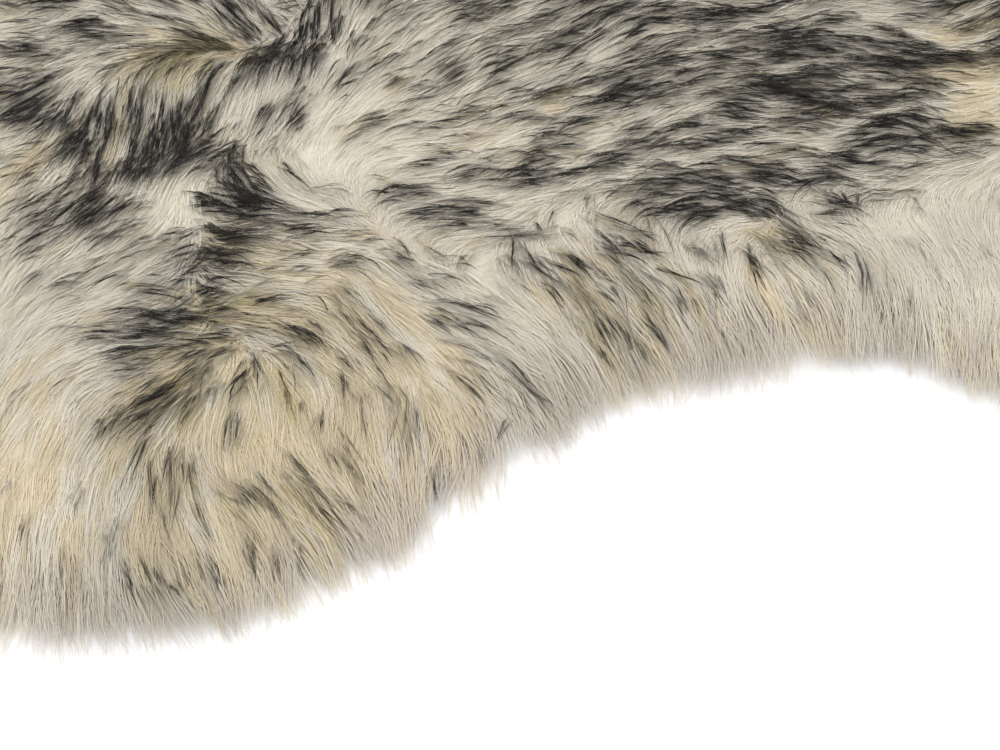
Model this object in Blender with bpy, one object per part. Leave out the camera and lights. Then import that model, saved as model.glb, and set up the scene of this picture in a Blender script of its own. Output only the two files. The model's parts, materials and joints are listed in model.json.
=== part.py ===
"""A sheepskin rug: one sheep's hide with its long wool left on, lying flat, wool side up.

The rug is one piece. Its solid is a lumpy slab of wool on the hide's outline, flat
underneath, with two rows of tapering locks round the rim that hang down to the floor.
Metres, +Z up. +X is the neck, -X the tail, and the origin is under the middle of the rug.
"""

import math
import random

import bmesh
import bpy
import numpy as np
from mathutils import Matrix, Vector, noise
from mathutils.geometry import delaunay_2d_cdt

NAME = "sheepskin"

# The rim of the wool slab, once round the hide. The locks reach further out.
HIDE_POINTS = (
    # place,              x,      y
    ("neck",              0.440,  0.006),
    ("near neck corner",  0.420, -0.094),
    ("near shoulder",     0.364, -0.164),
    ("near fore leg top", 0.304, -0.228),
    ("near fore leg",     0.226, -0.260),
    ("near fore elbow",   0.148, -0.236),
    ("near flank",        0.058, -0.190),
    ("near waist",       -0.044, -0.192),
    ("near stifle",      -0.112, -0.217),
    ("near hind leg top", -0.176, -0.256),
    ("near hind leg",    -0.250, -0.276),
    ("near hind heel",   -0.330, -0.258),
    ("near rump",        -0.398, -0.196),
    ("near tail base",   -0.436, -0.100),
    ("tail",             -0.452, -0.006),
    ("far tail base",    -0.440,  0.092),
    ("far rump",         -0.404,  0.184),
    ("far hind heel",    -0.340,  0.250),
    ("far hind leg",     -0.262,  0.274),
    ("far hind leg top", -0.184,  0.252),
    ("far stifle",       -0.116,  0.212),
    ("far waist",        -0.030,  0.190),
    ("far flank",         0.066,  0.196),
    ("far fore elbow",    0.146,  0.232),
    ("far fore leg",      0.226,  0.256),
    ("far fore leg top",  0.302,  0.218),
    ("far shoulder",      0.362,  0.158),
    ("far neck corner",   0.424,  0.098),
)
RIM_WAVE = 0.0035  # in and out of the rim, from one clump of wool to the next
RIM_WAVE_LENGTH = 0.045

# The slab's side, from the floor to its shoulder: height, and how far inside the rim.
FOOT_INSET = 0.003
EDGE_HEIGHT = 0.012
SHOULDER_HEIGHT = 0.026
SHOULDER_INSET = 0.008
SHOULDER_WAVE = 0.003

# The wool on top.
PILE_HEIGHT = 0.041  # over the middle of the rug
PILE_RISE = 0.030  # how far inside the shoulder the wool is nearly at that height
TOP_SPACING = 0.0152  # between the points of the top
TOP_CLEAR = 0.6  # part of that spacing, kept clear inside the shoulder
TUFT_SPACING = 0.050
TUFT_SCATTER = 0.3  # part of that spacing
TUFT_LENGTH = 0.085
TUFT_WIDTH = 0.036
TUFT_HEIGHT = 0.013
TUFT_CREST = 1.6  # over 1, the crest is nearer the tip than the root
SPINE_LEAN = math.radians(8)  # of the wool's run to the tail, over the spine
RIM_LEAN = math.radians(72)  # the same at the rim, where the wool runs outwards
LEAN_WIDTH = 0.25  # from the spine to where the wool has that lean

# Lines along which the wool parts and lies lower.
PARTINGS = (
    # place,       from x,  from y,   to x,   to y, depth,  width
    ("rump star",  -0.176,  -0.012, -0.236,  0.034, 0.009, 0.016),
    ("rump spine", -0.176,  -0.012, -0.128, -0.002, 0.007, 0.014),
    ("saddle",      0.010,   0.012,  0.092,  0.004, 0.006, 0.016),
)

# The locks at the rim.
LOCKS_IN_A_ROW = 136  # two rows, so there are twice as many
LOCK_REACH = 0.029
CLUMP_VARIES = 0.30  # of the reach, from one clump of locks to the next
CLUMP_LENGTH = 0.040
REACH_VARIES = 0.20  # of the reach, from one lock to the next
SWAY = 0.010  # sideways, at the tip
SWAY_LENGTHS = (0.19, 0.083)  # along the rim, over which the sway goes there and back
LOCK_STEPS = (
    # part of the reach, part of the root's width, part of its height
    (0.42, 0.88, 0.84),
    (0.76, 0.56, 0.50),
    (1.00, 0.10, 0.00),  # where the lock's four edges meet
)
UPPER_TIP_HEIGHT = 0.0015  # of the upper row, whose tips come down between the lower ones
UPPER_DROOP = 1.5  # how late along its length an upper lock comes down

SEED = 11
CORNER_STEPS = 10  # points of the smooth outline between two hide points
SHARP_ANGLE = math.radians(50)  # between faces, past which an edge is shaded sharp
WOOL_COLOUR = (0.60, 0.55, 0.46, 1.0)
WOOL_ROUGHNESS = 0.9


def smooth_outline():
    """The closed curve through the hide points, as a dense run of points."""
    curve = bpy.data.curves.new("hide outline", "CURVE")
    curve.dimensions = "2D"
    curve.resolution_u = CORNER_STEPS
    curve.fill_mode = "NONE"
    spline = curve.splines.new("BEZIER")
    spline.bezier_points.add(len(HIDE_POINTS) - 1)
    for bezier, (_, x, y) in zip(spline.bezier_points, HIDE_POINTS):
        bezier.co = (x, y, 0.0)
        bezier.handle_left_type = "AUTO"
        bezier.handle_right_type = "AUTO"
    spline.use_cyclic_u = True
    guide = bpy.data.objects.new("hide outline", curve)
    bpy.context.scene.collection.objects.link(guide)
    depsgraph = bpy.context.evaluated_depsgraph_get()
    mesh = bpy.data.meshes.new_from_object(guide.evaluated_get(depsgraph))
    points = np.array([vertex.co[:2] for vertex in mesh.vertices])
    bpy.data.objects.remove(guide)
    bpy.data.curves.remove(curve)
    bpy.data.meshes.remove(mesh)
    return points if area(points) > 0 else points[::-1]


def area(points):
    x, y = points[:, 0], points[:, 1]
    return 0.5 * float(np.sum(x * np.roll(y, -1) - np.roll(x, -1) * y))


def spaced_round(points, count):
    """The same closed run, as so many points at equal steps along it."""
    closed = np.vstack([points, points[:1]])
    walked = np.concatenate([[0.0], np.cumsum(np.linalg.norm(np.diff(closed, axis=0), axis=1))])
    wanted = np.arange(count) * walked[-1] / count
    spaced = [np.interp(wanted, walked, closed[:, axis]) for axis in (0, 1)]
    return np.column_stack(spaced), walked[-1]


def outward(points):
    """The unit directions out of a closed run that goes round to the left."""
    along = np.roll(points, -1, axis=0) - np.roll(points, 1, axis=0)
    along /= np.linalg.norm(along, axis=1)[:, None]
    return np.column_stack([along[:, 1], -along[:, 0]])


def wave(point, length, layer=0):
    """An even wander from -1 to 1 over the floor, about `length` from crest to crest."""
    return noise.noise(Vector((point[0] / length, point[1] / length, layer)))


def rim_rings():
    """The slab's foot, edge and shoulder, as points and heights at each column."""
    rim, length = spaced_round(smooth_outline(), 2 * LOCKS_IN_A_ROW)
    out = outward(rim)
    bulge = np.array([wave(point, RIM_WAVE_LENGTH) for point in rim])
    edge = rim + out * (RIM_WAVE * bulge)[:, None]
    foot = edge - out * FOOT_INSET
    shoulder = edge - out * SHOULDER_INSET
    heights = SHOULDER_HEIGHT + SHOULDER_WAVE * bulge
    return foot, edge, shoulder, heights, out, length


def wool_run(x, y):
    """The direction in which the wool lies: to the tail along the spine, outwards at the rim."""
    part = min(abs(y) / LEAN_WIDTH, 1.0)
    lean = SPINE_LEAN + (RIM_LEAN - SPINE_LEAN) * part
    return Vector((-math.cos(lean), math.copysign(math.sin(lean), y)))


def tufts(low, high):
    """The lumps of wool between two corners: a root, a direction and a height for each."""
    chance = random.Random(SEED)
    columns, rows = (int(size / TUFT_SPACING) + 1 for size in high - low)
    found = []
    for row in range(rows):
        for column in range(columns):
            stray = TUFT_SCATTER * Vector((chance.uniform(-1.0, 1.0), chance.uniform(-1.0, 1.0)))
            place = Vector((column + 0.5 * (row % 2), row)) + stray
            root = low + place * TUFT_SPACING
            height = chance.uniform(0.4, 1.0) * TUFT_HEIGHT
            found.append((root, wool_run(*root), height))
    return found


def lump_height(point, all_tufts):
    """How far the tufts stand over the plain pile, each rising slowly and ending at its tip."""
    highest = 0.0
    for root, run, height in all_tufts:
        away = point - root
        along = away.dot(run) / TUFT_LENGTH
        across = (away.x * run.y - away.y * run.x) / (0.5 * TUFT_WIDTH)
        if 0.0 < along < 1.0 and abs(across) < 1.0:
            swell = math.sin(math.pi * along ** TUFT_CREST) * (1.0 - across * across)
            highest = max(highest, height * swell)
    return highest


def parting_depth(point):
    """How far the wool lies lower where it parts."""
    deepest = 0.0
    for _, from_x, from_y, to_x, to_y, depth, width in PARTINGS:
        start = Vector((from_x, from_y))
        line = Vector((to_x, to_y)) - start
        part = min(max((point - start).dot(line) / line.length_squared, 0.0), 1.0)
        away = (point - start - part * line).length / width
        deepest = max(deepest, depth * math.exp(-away * away))
    return deepest


def distance_inside(point, ring):
    """How far a point is from a closed ring of points."""
    step = np.roll(ring, -1, axis=0) - ring
    part = np.clip(((point - ring) * step).sum(axis=1) / (step * step).sum(axis=1), 0, 1)
    return float(np.linalg.norm(ring + part[:, None] * step - point, axis=1).min())


def is_inside(point, ring):
    """Whether a line from a point along +X crosses a closed ring of points an odd number of times."""
    x, y = ring[:, 0], ring[:, 1]
    next_x, next_y = np.roll(x, -1), np.roll(y, -1)
    crosses = (y > point[1]) != (next_y > point[1])
    rise = np.where(crosses, next_y - y, 1.0)
    ahead = point[0] < x + (point[1] - y) * (next_x - x) / rise
    return bool(np.count_nonzero(crosses & ahead) % 2)


def top_points(shoulder):
    """Points in offset rows over the top, well inside the shoulder."""
    row_step = TOP_SPACING * math.sqrt(0.75)
    low, high = shoulder.min(axis=0), shoulder.max(axis=0)
    points = []
    for row in range(int((high[1] - low[1]) / row_step) + 1):
        for column in range(int((high[0] - low[0]) / TOP_SPACING) + 1):
            x = low[0] + (column + 0.5 * (row % 2)) * TOP_SPACING
            y = low[1] + row * row_step
            clear = distance_inside((x, y), shoulder) > TOP_CLEAR * TOP_SPACING
            if clear and is_inside((x, y), shoulder):
                points.append((x, y))
    return points


def add_slab(bm, foot, edge, shoulder, heights):
    """The slab: a flat underside, two bands of faces up its side, and the lumpy top."""
    count = len(foot)
    rings = (
        [bm.verts.new((x, y, 0.0)) for x, y in foot],
        [bm.verts.new((x, y, EDGE_HEIGHT)) for x, y in edge],
        [bm.verts.new((x, y, z)) for (x, y), z in zip(shoulder, heights)],
    )
    bm.faces.new(reversed(rings[0]))
    bands = []
    for low, high in zip(rings, rings[1:]):
        band = []
        for i in range(count):
            j = (i + 1) % count
            band.append(bm.faces.new((low[i], low[j], high[j], high[i])))
        bands.append(band)

    inner = top_points(shoulder)
    flat = [Vector(point) for point in shoulder] + [Vector(point) for point in inner]
    border = [(i, (i + 1) % count) for i in range(count)]
    _, _, triangles, _, _, _ = delaunay_2d_cdt(flat, border, [], 1, 1e-7)
    all_tufts = tufts(Vector(shoulder.min(axis=0)), Vector(shoulder.max(axis=0)))
    top = list(rings[2])
    for x, y in inner:
        point = Vector((x, y))
        rise = 1.0 - math.exp(-distance_inside((x, y), shoulder) / PILE_RISE)
        swell = PILE_HEIGHT - SHOULDER_HEIGHT + lump_height(point, all_tufts) - parting_depth(point)
        top.append(bm.verts.new((x, y, SHOULDER_HEIGHT + swell * rise)))
    for triangle in triangles:
        bm.faces.new([top[i] for i in triangle])
    return bands


def grow_lock(bm, face, out, reach, swing, is_upper):
    """Draws one face of the slab's side out into a tapering lock that comes down to the floor.

    The sway grows with the distance from the rim alone, so that neighbours never cross.
    """
    side = Vector((-out.y, out.x, 0.0))
    root = face.calc_center_median()
    foot = Vector((root.x, root.y, 0.0))
    corners = [vertex.co - root for vertex in face.verts]
    for far, width, height in LOCK_STEPS:
        face = bmesh.ops.extrude_discrete_faces(bm, faces=[face])["faces"][0]
        run = far * reach
        shift = out * run + side * (swing * SWAY * (run / LOCK_REACH) ** 2)
        middle = root.z + (UPPER_TIP_HEIGHT - root.z) * far ** UPPER_DROOP
        for vertex, corner in zip(face.verts, corners):
            level = middle + corner.z * height if is_upper else (root.z + corner.z) * height
            vertex.co = foot + shift + side * (corner.dot(side) * width) + Vector((0.0, 0.0, level))
    bmesh.ops.pointmerge(bm, verts=face.verts[:], merge_co=face.calc_center_median())


def add_locks(bm, bands, out, length):
    """Locks from every other face of each band, the upper row over the gaps of the lower one."""
    chance = random.Random(SEED)
    count = len(out)
    for row, band in enumerate(bands):
        for i in range(row, count, 2):
            across = out[i] + out[(i + 1) % count]
            away = Vector((across[0], across[1], 0.0)).normalized()
            walked = i * length / count
            swings = [math.sin(2.0 * math.pi * walked / full) for full in SWAY_LENGTHS]
            clump = CLUMP_VARIES * wave(band[i].calc_center_median(), CLUMP_LENGTH, row)
            stray = REACH_VARIES * chance.uniform(-1.0, 1.0)
            reach = LOCK_REACH * (1.0 + clump + stray)
            grow_lock(bm, band[i], away, reach, sum(swings) / len(swings), row == 1)


def wool_material():
    material = bpy.data.materials.new("wool")
    material.use_nodes = True
    shader = material.node_tree.nodes["Principled BSDF"]
    shader.inputs["Base Color"].default_value = WOOL_COLOUR
    shader.inputs["Roughness"].default_value = WOOL_ROUGHNESS
    shader.inputs["Metallic"].default_value = 0.0
    return material


def centre_on_origin(mesh):
    """Moves the rug over the floor until the middle of its box is over the origin."""
    corners = np.array([vertex.co for vertex in mesh.vertices])
    middle = 0.5 * (corners.min(axis=0) + corners.max(axis=0))
    mesh.transform(Matrix.Translation((-middle[0], -middle[1], 0.0)))


def make_sheepskin(collection):
    foot, edge, shoulder, heights, out, length = rim_rings()
    bm = bmesh.new()
    bands = add_slab(bm, foot, edge, shoulder, heights)
    add_locks(bm, bands, out, length)
    bmesh.ops.recalc_face_normals(bm, faces=bm.faces[:])
    mesh = bpy.data.meshes.new(NAME)
    bm.to_mesh(mesh)
    bm.free()
    centre_on_origin(mesh)
    mesh.materials.append(wool_material())
    mesh.shade_smooth()
    mesh.set_sharp_from_angle(angle=SHARP_ANGLE)
    rug = bpy.data.objects.new(NAME, mesh)
    collection.objects.link(rug)


def main():
    for item in list(bpy.data.objects):
        bpy.data.objects.remove(item)
    collection = bpy.data.collections.new("sheepskin rug")
    bpy.context.scene.collection.children.link(collection)
    make_sheepskin(collection)


main()
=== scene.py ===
import json
import math
import random

import bpy
import numpy as np
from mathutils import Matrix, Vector
from mathutils.bvhtree import BVHTree
from mathutils.geometry import delaunay_2d_cdt

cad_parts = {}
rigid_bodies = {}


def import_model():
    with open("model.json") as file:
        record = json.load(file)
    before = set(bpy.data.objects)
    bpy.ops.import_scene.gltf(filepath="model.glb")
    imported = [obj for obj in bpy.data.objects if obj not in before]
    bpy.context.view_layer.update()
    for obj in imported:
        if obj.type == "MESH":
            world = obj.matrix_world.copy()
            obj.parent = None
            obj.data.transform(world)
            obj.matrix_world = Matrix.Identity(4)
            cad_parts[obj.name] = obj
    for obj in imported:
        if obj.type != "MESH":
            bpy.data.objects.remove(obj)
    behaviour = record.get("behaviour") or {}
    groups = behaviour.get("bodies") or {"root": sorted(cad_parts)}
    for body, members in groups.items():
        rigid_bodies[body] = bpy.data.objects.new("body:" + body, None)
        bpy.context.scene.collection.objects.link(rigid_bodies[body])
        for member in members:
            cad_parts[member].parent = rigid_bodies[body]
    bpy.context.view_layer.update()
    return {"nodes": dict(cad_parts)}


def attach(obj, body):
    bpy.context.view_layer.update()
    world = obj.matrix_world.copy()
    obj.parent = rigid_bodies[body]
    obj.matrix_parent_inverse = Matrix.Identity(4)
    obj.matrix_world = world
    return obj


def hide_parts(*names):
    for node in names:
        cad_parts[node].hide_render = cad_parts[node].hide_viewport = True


for leftover in list(bpy.data.objects):
    bpy.data.objects.remove(leftover)
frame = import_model()
rugNode = "sheepskin"

# The camera stands where the photo was taken from.
photoView = {
    "azimuth": -10.0,   # degrees, 0 looks along +Y
    "elevation": 55.0,
    "lens": 85.0,       # mm, on the sensor below
    "sensor": 36.0,
    "pixel": 0.00045,   # metres of rug to a pixel, square to the view
    "aimX": -0.0931,    # the floor point in the middle of the picture
    "aimY": -0.1903,
    "width": 1000,
    "height": 750,
    "wool": 0.035,      # metres, the wool's usual height
}


def viewAxes():
    turn, rise = (math.radians(photoView[key]) for key in ("azimuth", "elevation"))
    ahead = np.array([-math.sin(turn) * math.cos(rise), math.cos(turn) * math.cos(rise), -math.sin(rise)])
    right = np.array([math.cos(turn), math.sin(turn), 0.0])
    return ahead, right, np.cross(right, ahead)


viewAhead, viewRight, viewUp = viewAxes()
focalPixels = photoView["lens"] / photoView["sensor"] * photoView["width"]
middleX, middleY = 0.5 * photoView["width"], 0.5 * photoView["height"]
aim = np.array([photoView["aimX"], photoView["aimY"], 0.0])
eye = aim - viewAhead * focalPixels * photoView["pixel"]


# where a pixel's line of sight comes down to that height
def atHeight(px, py, height):
    ray = viewAhead * focalPixels + viewRight * (px - middleX)
    ray = ray + viewUp * (middleY - py)
    return (eye + ray * (height - eye[2]) / ray[2])[:2]


# where it meets the top of the wool
def fromPhoto(px, py):
    height = photoView["wool"]
    for _ in range(12):
        at = atHeight(px, py, height)
        height = 0.5 * (height + readAt(woolTop, at))
    return at


def toPhoto(x, y):
    away = np.stack([x, y, np.full_like(x, photoView["wool"])], axis=-1) - eye
    deep = away @ viewAhead
    return middleX + focalPixels * (away @ viewRight) / deep, middleY - focalPixels * (away @ viewUp) / deep


def placeObject(name, data):
    made = bpy.data.objects.new(name, data)
    bpy.context.scene.collection.objects.link(made)
    return made


def lookAlong(made, place, ahead):
    made.location = place
    made.rotation_euler = Vector(ahead).to_track_quat("-Z", "Y").to_euler()


# turns a guide with its modifiers into a plain mesh
def plainMesh(guide):
    shown = guide.evaluated_get(bpy.context.evaluated_depsgraph_get())
    mesh = bpy.data.meshes.new_from_object(shown)
    bpy.data.objects.remove(guide)
    return mesh


def placeCamera():
    data = bpy.data.cameras.new("photoCamera")
    data.lens, data.sensor_width = photoView["lens"], photoView["sensor"]
    camera = placeObject("photoCamera", data)
    lookAlong(camera, eye, viewAhead)
    bpy.context.scene.camera = camera


placeCamera()
print("camera placed")

# The hide's rim, as in the part's source. The wool reaches further out.
hide = {
    "middle": (-0.0069, -0.0007),  # taken off every point, so that the rug's box is centred
    "steps": 10,                   # points of the smooth outline between two of these
    "points": 560,                 # even points all round
    "rim": (
        (0.44, 0.006), (0.42, -0.094), (0.364, -0.164), (0.304, -0.228), (0.226, -0.26), (0.148, -0.236),
        (0.058, -0.19), (-0.044, -0.192), (-0.112, -0.217), (-0.176, -0.256), (-0.25, -0.276),
        (-0.33, -0.258), (-0.398, -0.196), (-0.436, -0.1), (-0.452, -0.006), (-0.44, 0.092),
        (-0.404, 0.184), (-0.34, 0.25), (-0.262, 0.274), (-0.184, 0.252), (-0.116, 0.212), (-0.03, 0.19),
        (0.066, 0.196), (0.146, 0.232), (0.226, 0.256), (0.302, 0.218), (0.362, 0.158), (0.424, 0.098),
    ),           # x, y, from the neck round the near side, the tail and the far side
}


def ringArea(ring):
    x, y = ring.T
    return 0.5 * float(np.sum(x * np.roll(y, -1) - np.roll(x, -1) * y))


def smoothRim():
    curve = bpy.data.curves.new("hideRim", "CURVE")
    curve.dimensions = "2D"
    curve.resolution_u = hide["steps"]
    curve.fill_mode = "NONE"
    spline = curve.splines.new("BEZIER")
    spline.bezier_points.add(len(hide["rim"]) - 1)
    for bezier, (x, y) in zip(spline.bezier_points, hide["rim"]):
        bezier.co = (x - hide["middle"][0], y - hide["middle"][1], 0.0)
        bezier.handle_left_type = bezier.handle_right_type = "AUTO"
    spline.use_cyclic_u = True
    mesh = plainMesh(placeObject("hideRim", curve))
    points = np.array([vertex.co[:2] for vertex in mesh.vertices])
    bpy.data.meshes.remove(mesh)
    return points[::-1] if ringArea(points) < 0 else points


def evenRound(points, count):
    closed = np.vstack([points, points[:1]])
    walked = np.concatenate([[0.0], np.cumsum(np.linalg.norm(np.diff(closed, axis=0), axis=1))])
    wanted = np.arange(count) * walked[-1] / count
    return np.column_stack([np.interp(wanted, walked, closed[:, axis]) for axis in (0, 1)])


def outOf(ring):
    along = np.roll(ring, -1, axis=0) - np.roll(ring, 1, axis=0)
    along /= np.linalg.norm(along, axis=1)[:, None]
    return np.column_stack([along[:, 1], -along[:, 0]])


rim = evenRound(smoothRim(), hide["points"])

# Fields over the floor, one value to a cell, that the bed, the skin and the wool all read.
field = {"cell": 0.003, "halfX": 0.540, "halfY": 0.366}
halves = (field["halfX"], field["halfY"])
cellsX, cellsY = (np.arange(-half, half, field["cell"]) for half in halves)
gridX, gridY = np.meshgrid(cellsX, cellsY)


def readField(values, x, y):
    rows, columns = values.shape
    column = np.clip((x + field["halfX"]) * columns / (2 * field["halfX"]), 0, columns - 1.001)
    row = np.clip((y + field["halfY"]) * rows / (2 * field["halfY"]), 0, rows - 1.001)
    i, j = column.astype(int), row.astype(int)
    u, v = column - i, row - j
    low = values[j, i] * (1 - u) + values[j, i + 1] * u
    high = values[j + 1, i] * (1 - u) + values[j + 1, i + 1] * u
    return low * (1 - v) + high * v


def readAt(values, at):
    return readField(values, *at[:, None])[0]


def slopeOf(values):
    slopeY, slopeX = np.gradient(values, field["cell"])
    return slopeX, slopeY


def blur(values, times):
    for _ in range(times):
        for axis in (0, 1):
            padded = np.pad(values, [(1, 1) if axis == side else (0, 0) for side in (0, 1)], mode="edge")
            places = np.arange(values.shape[axis])
            before, after = (np.take(padded, places + start, axis) for start in (0, 2))
            values = 0.5 * values + 0.25 * (before + after)
    return values


waves = {"count": 7, "paces": (0.7, 1.5), "height": 3.2}


# an even wander from -1 to 1, about `length` from crest to crest
def wander(x, y, length, layer):
    chance = random.Random(layer)
    total = np.zeros_like(x)
    for _ in range(waves["count"]):
        turn, shift = chance.uniform(0, 2 * math.pi), chance.uniform(0, 2 * math.pi)
        pace = 2 * math.pi / length * chance.uniform(*waves["paces"])
        total += np.sin((x * math.cos(turn) + y * math.sin(turn)) * pace + shift)
    return np.clip(total / waves["height"], -1, 1)


def smoothStep(low, high, value):
    part = np.clip((value - low) / (high - low), 0, 1)
    return part * part * (3 - 2 * part)


def unit(x, y):
    size = np.hypot(x, y) + 1e-9
    return x / size, y / size


def turned(x, y, angle):
    return x * np.cos(angle) - y * np.sin(angle), x * np.sin(angle) + y * np.cos(angle)


def outsideOfRim():
    best = np.full(gridX.shape, 1e9)
    odd = np.zeros(gridX.shape, bool)
    for start, end in zip(rim, np.roll(rim, -1, axis=0)):
        step = end - start
        part = np.clip(((gridX - start[0]) * step[0] + (gridY - start[1]) * step[1]) / (step @ step), 0, 1)
        away = (gridX - start[0] - part * step[0]) ** 2 + (gridY - start[1] - part * step[1]) ** 2
        best = np.minimum(best, away)
        if start[1] != end[1]:
            crosses = (gridY < start[1]) != (gridY < end[1])
            odd ^= crosses & (gridX < start[0] + (gridY - start[1]) * step[0] / step[1])
    away = np.sqrt(best)
    return np.where(odd, -away, away)


def cadTop():
    mesh = frame["nodes"][rugNode].data
    points = [vertex.co.copy() for vertex in mesh.vertices]
    tree = BVHTree.FromPolygons(points, [tuple(polygon.vertices) for polygon in mesh.polygons])
    heights = np.zeros(gridX.shape)
    for j, y in enumerate(cellsY):
        for i, x in enumerate(cellsX):
            hit = tree.ray_cast((x, y, 0.2), (0, 0, -1))[0]  # from over the rug straight down
            if hit is not None:
                heights[j, i] = hit.z
    return heights


outside = outsideOfRim()  # distance out of the rim, below 0 inside it
woolTop = blur(cadTop(), 3)
print("hide and wool heights read")

# Places in the photo are grouped by what shows there. The dark wisps on the sides are laid one by one.
backPlaces = ("rumpStar", "saddle", "divide")
sidePlaces = ("haunch", "flank", "hindLeg")

# Which way the wool lies. Each row is a place in the photo and a heading there, in degrees on the
# photo, 0 to the right and 90 up, towards the tips.
woolRun = {
    "spineLean": 8.0,      # degrees off the run to the tail, over the spine
    "rimLean": 72.0,       # and at the rim
    "leanWidth": 0.25,
    "rimBand": (-0.055, 0.004),  # out of the rim: where the wool starts to turn outwards and has turned
    "swirl": 22.0,         # degrees, where the photo doesn't show it
    "swirlLength": 0.16,
    "near": 0.009,         # how closely the wool keeps to a heading below
    "far": 0.042,          # how far from one it follows the plain rule again
    "reach": 10.0,         # pixels to each side, over which a heading is carried to the rug
    "evened": (4, 6, 14),  # times that the plain rule, the rim's way out and the calm fleece are evened
    "parts": (45.0, 120.0),  # how fast the wool runs apart where a parting begins, and is full
    "rumpStar": (
        (180, 20, 168), (230, 10, 140), (270, 10, 125), (150, 50, 190), (200, 70, 235), (150, 90, 262),
        (170, 130, 262), (140, 130, 262), (200, 110, 255), (310, 30, 265), (330, 60, 250), (300, 100, 235),
        (350, 80, 222), (262, 138, 236), (214, 160, 212), (236, 164, 300), (254, 180, 318), (290, 52, 240),
        (272, 60, 228), (320, 45, 258),
    ),
    "saddle": (
        (400, 60, 218), (450, 40, 215), (500, 60, 210), (560, 50, 208), (620, 60, 205), (700, 60, 195),
        (780, 60, 188), (850, 80, 183), (400, 110, 205), (450, 140, 190), (520, 130, 200), (600, 130, 200),
        (700, 150, 192), (800, 150, 185), (650, 175, 190), (740, 170, 186), (800, 175, 183),
        (860, 180, 184), (920, 60, 182), (920, 150, 182), (560, 180, 195),
    ),
    "divide": (
        (150, 235, 210), (175, 250, 208), (190, 238, 206), (193, 262, 200), (240, 208, -14),
        (266, 200, -24), (215, 228, -5), (235, 245, -5), (215, 250, -5), (222, 266, -8), (300, 235, -5),
        (350, 230, -5), (222, 286, 10), (250, 280, 8), (400, 195, 190), (460, 205, 188),
    ),
    "haunch": (
        (150, 325, 186), (195, 340, 182), (150, 360, 200), (190, 370, 225), (270, 322, -5), (310, 340, -35),
        (340, 318, -50), (430, 285, -22), (480, 320, -25), (450, 330, -40), (405, 360, -55),
        (490, 355, -20), (500, 236, 184), (525, 256, -60), (540, 265, -35), (560, 290, -45),
        (605, 310, -58), (640, 290, -50), (645, 350, -60), (575, 340, -52),
    ),
    "flank": (
        (640, 206, 198), (665, 214, 195), (690, 218, 192), (700, 198, 192), (715, 213, 186),
        (735, 190, 182), (740, 213, 174), (764, 214, 164), (770, 196, 172), (796, 216, -20),
        (838, 214, -16), (620, 238, -28), (648, 247, -32), (680, 246, -25), (820, 245, -40),
        (775, 243, -30), (700, 258, -45), (725, 260, -75), (690, 305, -55), (780, 300, -62),
        (870, 290, -90), (930, 240, -50), (930, 290, -85),
    ),
    "hindLeg": (
        (150, 400, 215), (195, 385, 250), (222, 435, -95), (145, 490, -92), (180, 500, -88),
        (205, 525, -60), (245, 500, -38), (270, 510, -60), (310, 485, -42), (335, 530, -50),
        (355, 465, -60), (320, 430, -95), (300, 410, -90), (400, 440, -90), (435, 500, -90),
        (480, 460, -90), (505, 434, -120), (530, 400, -48), (485, 385, -50), (145, 600, -70),
        (184, 618, -25), (190, 590, -55), (222, 600, -85), (250, 570, -80), (280, 600, -85),
        (300, 580, -85), (90, 450, 250), (90, 560, 265),
    ),
    "rim": (
        (130, 642, -80), (205, 636, -85), (280, 618, -85), (330, 596, -85), (380, 570, -85),
        (430, 532, -85), (480, 492, -85), (530, 458, -85), (580, 427, -80), (630, 408, -80),
        (680, 394, -85), (730, 385, -88), (780, 377, -88), (830, 366, -88), (880, 354, -88),
        (940, 340, -88),
    ),
}


def headingOnRug(px, py, heading):
    step = np.array([math.cos(math.radians(heading)), -math.sin(math.radians(heading))]) * woolRun["reach"]
    run = fromPhoto(px + step[0], py + step[1]) - fromPhoto(px - step[0], py - step[1])
    return run / np.linalg.norm(run)


# what a row's place weighs in each cell
def pullOf(at, near, power):
    return 1 / ((gridX - at[0]) ** 2 + (gridY - at[1]) ** 2 + near ** 2) ** power


def woolDirections(power):
    part = np.minimum(np.abs(gridY) / woolRun["leanWidth"], 1)
    lean = np.radians(woolRun["spineLean"] + (woolRun["rimLean"] - woolRun["spineLean"]) * part)
    side = np.where(gridY < 0, -1.0, 1.0)
    turn = np.radians(woolRun["swirl"]) * wander(gridX, gridY, woolRun["swirlLength"], 5)
    angle = np.pi - side * lean + turn
    plain, way = woolRun["evened"][:2]
    runX, runY = blur(np.cos(angle), plain), blur(np.sin(angle), plain)
    outX, outY = unit(*slopeOf(blur(outside, way)))
    out = smoothStep(*woolRun["rimBand"], outside)
    runX, runY = runX * (1 - out) + outX * out, runY * (1 - out) + outY * out
    size = np.hypot(runX, runY) + 1e-9
    weight = 1 / woolRun["far"] ** (2 * power)
    sumX, sumY, total = weight * runX / size, weight * runY / size, weight
    for place in backPlaces + sidePlaces + ("rim",):
        for px, py, heading in woolRun[place]:
            run, pull = headingOnRug(px, py, heading), pullOf(fromPhoto(px, py), woolRun["near"], power)
            sumX += pull * run[0]
            sumY += pull * run[1]
            total = total + pull
    size = np.hypot(sumX, sumY) + 1e-12
    return sumX / size, sumY / size, size / total


runX, runY = woolDirections(2)[:2]
tipX, tipY, agreed = woolDirections(3)  # the tips turn sharply from one lie to the next
calmX, calmY = (blur(values, woolRun["evened"][2]) for values in (runX, runY))  # the fleece only gently

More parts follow.
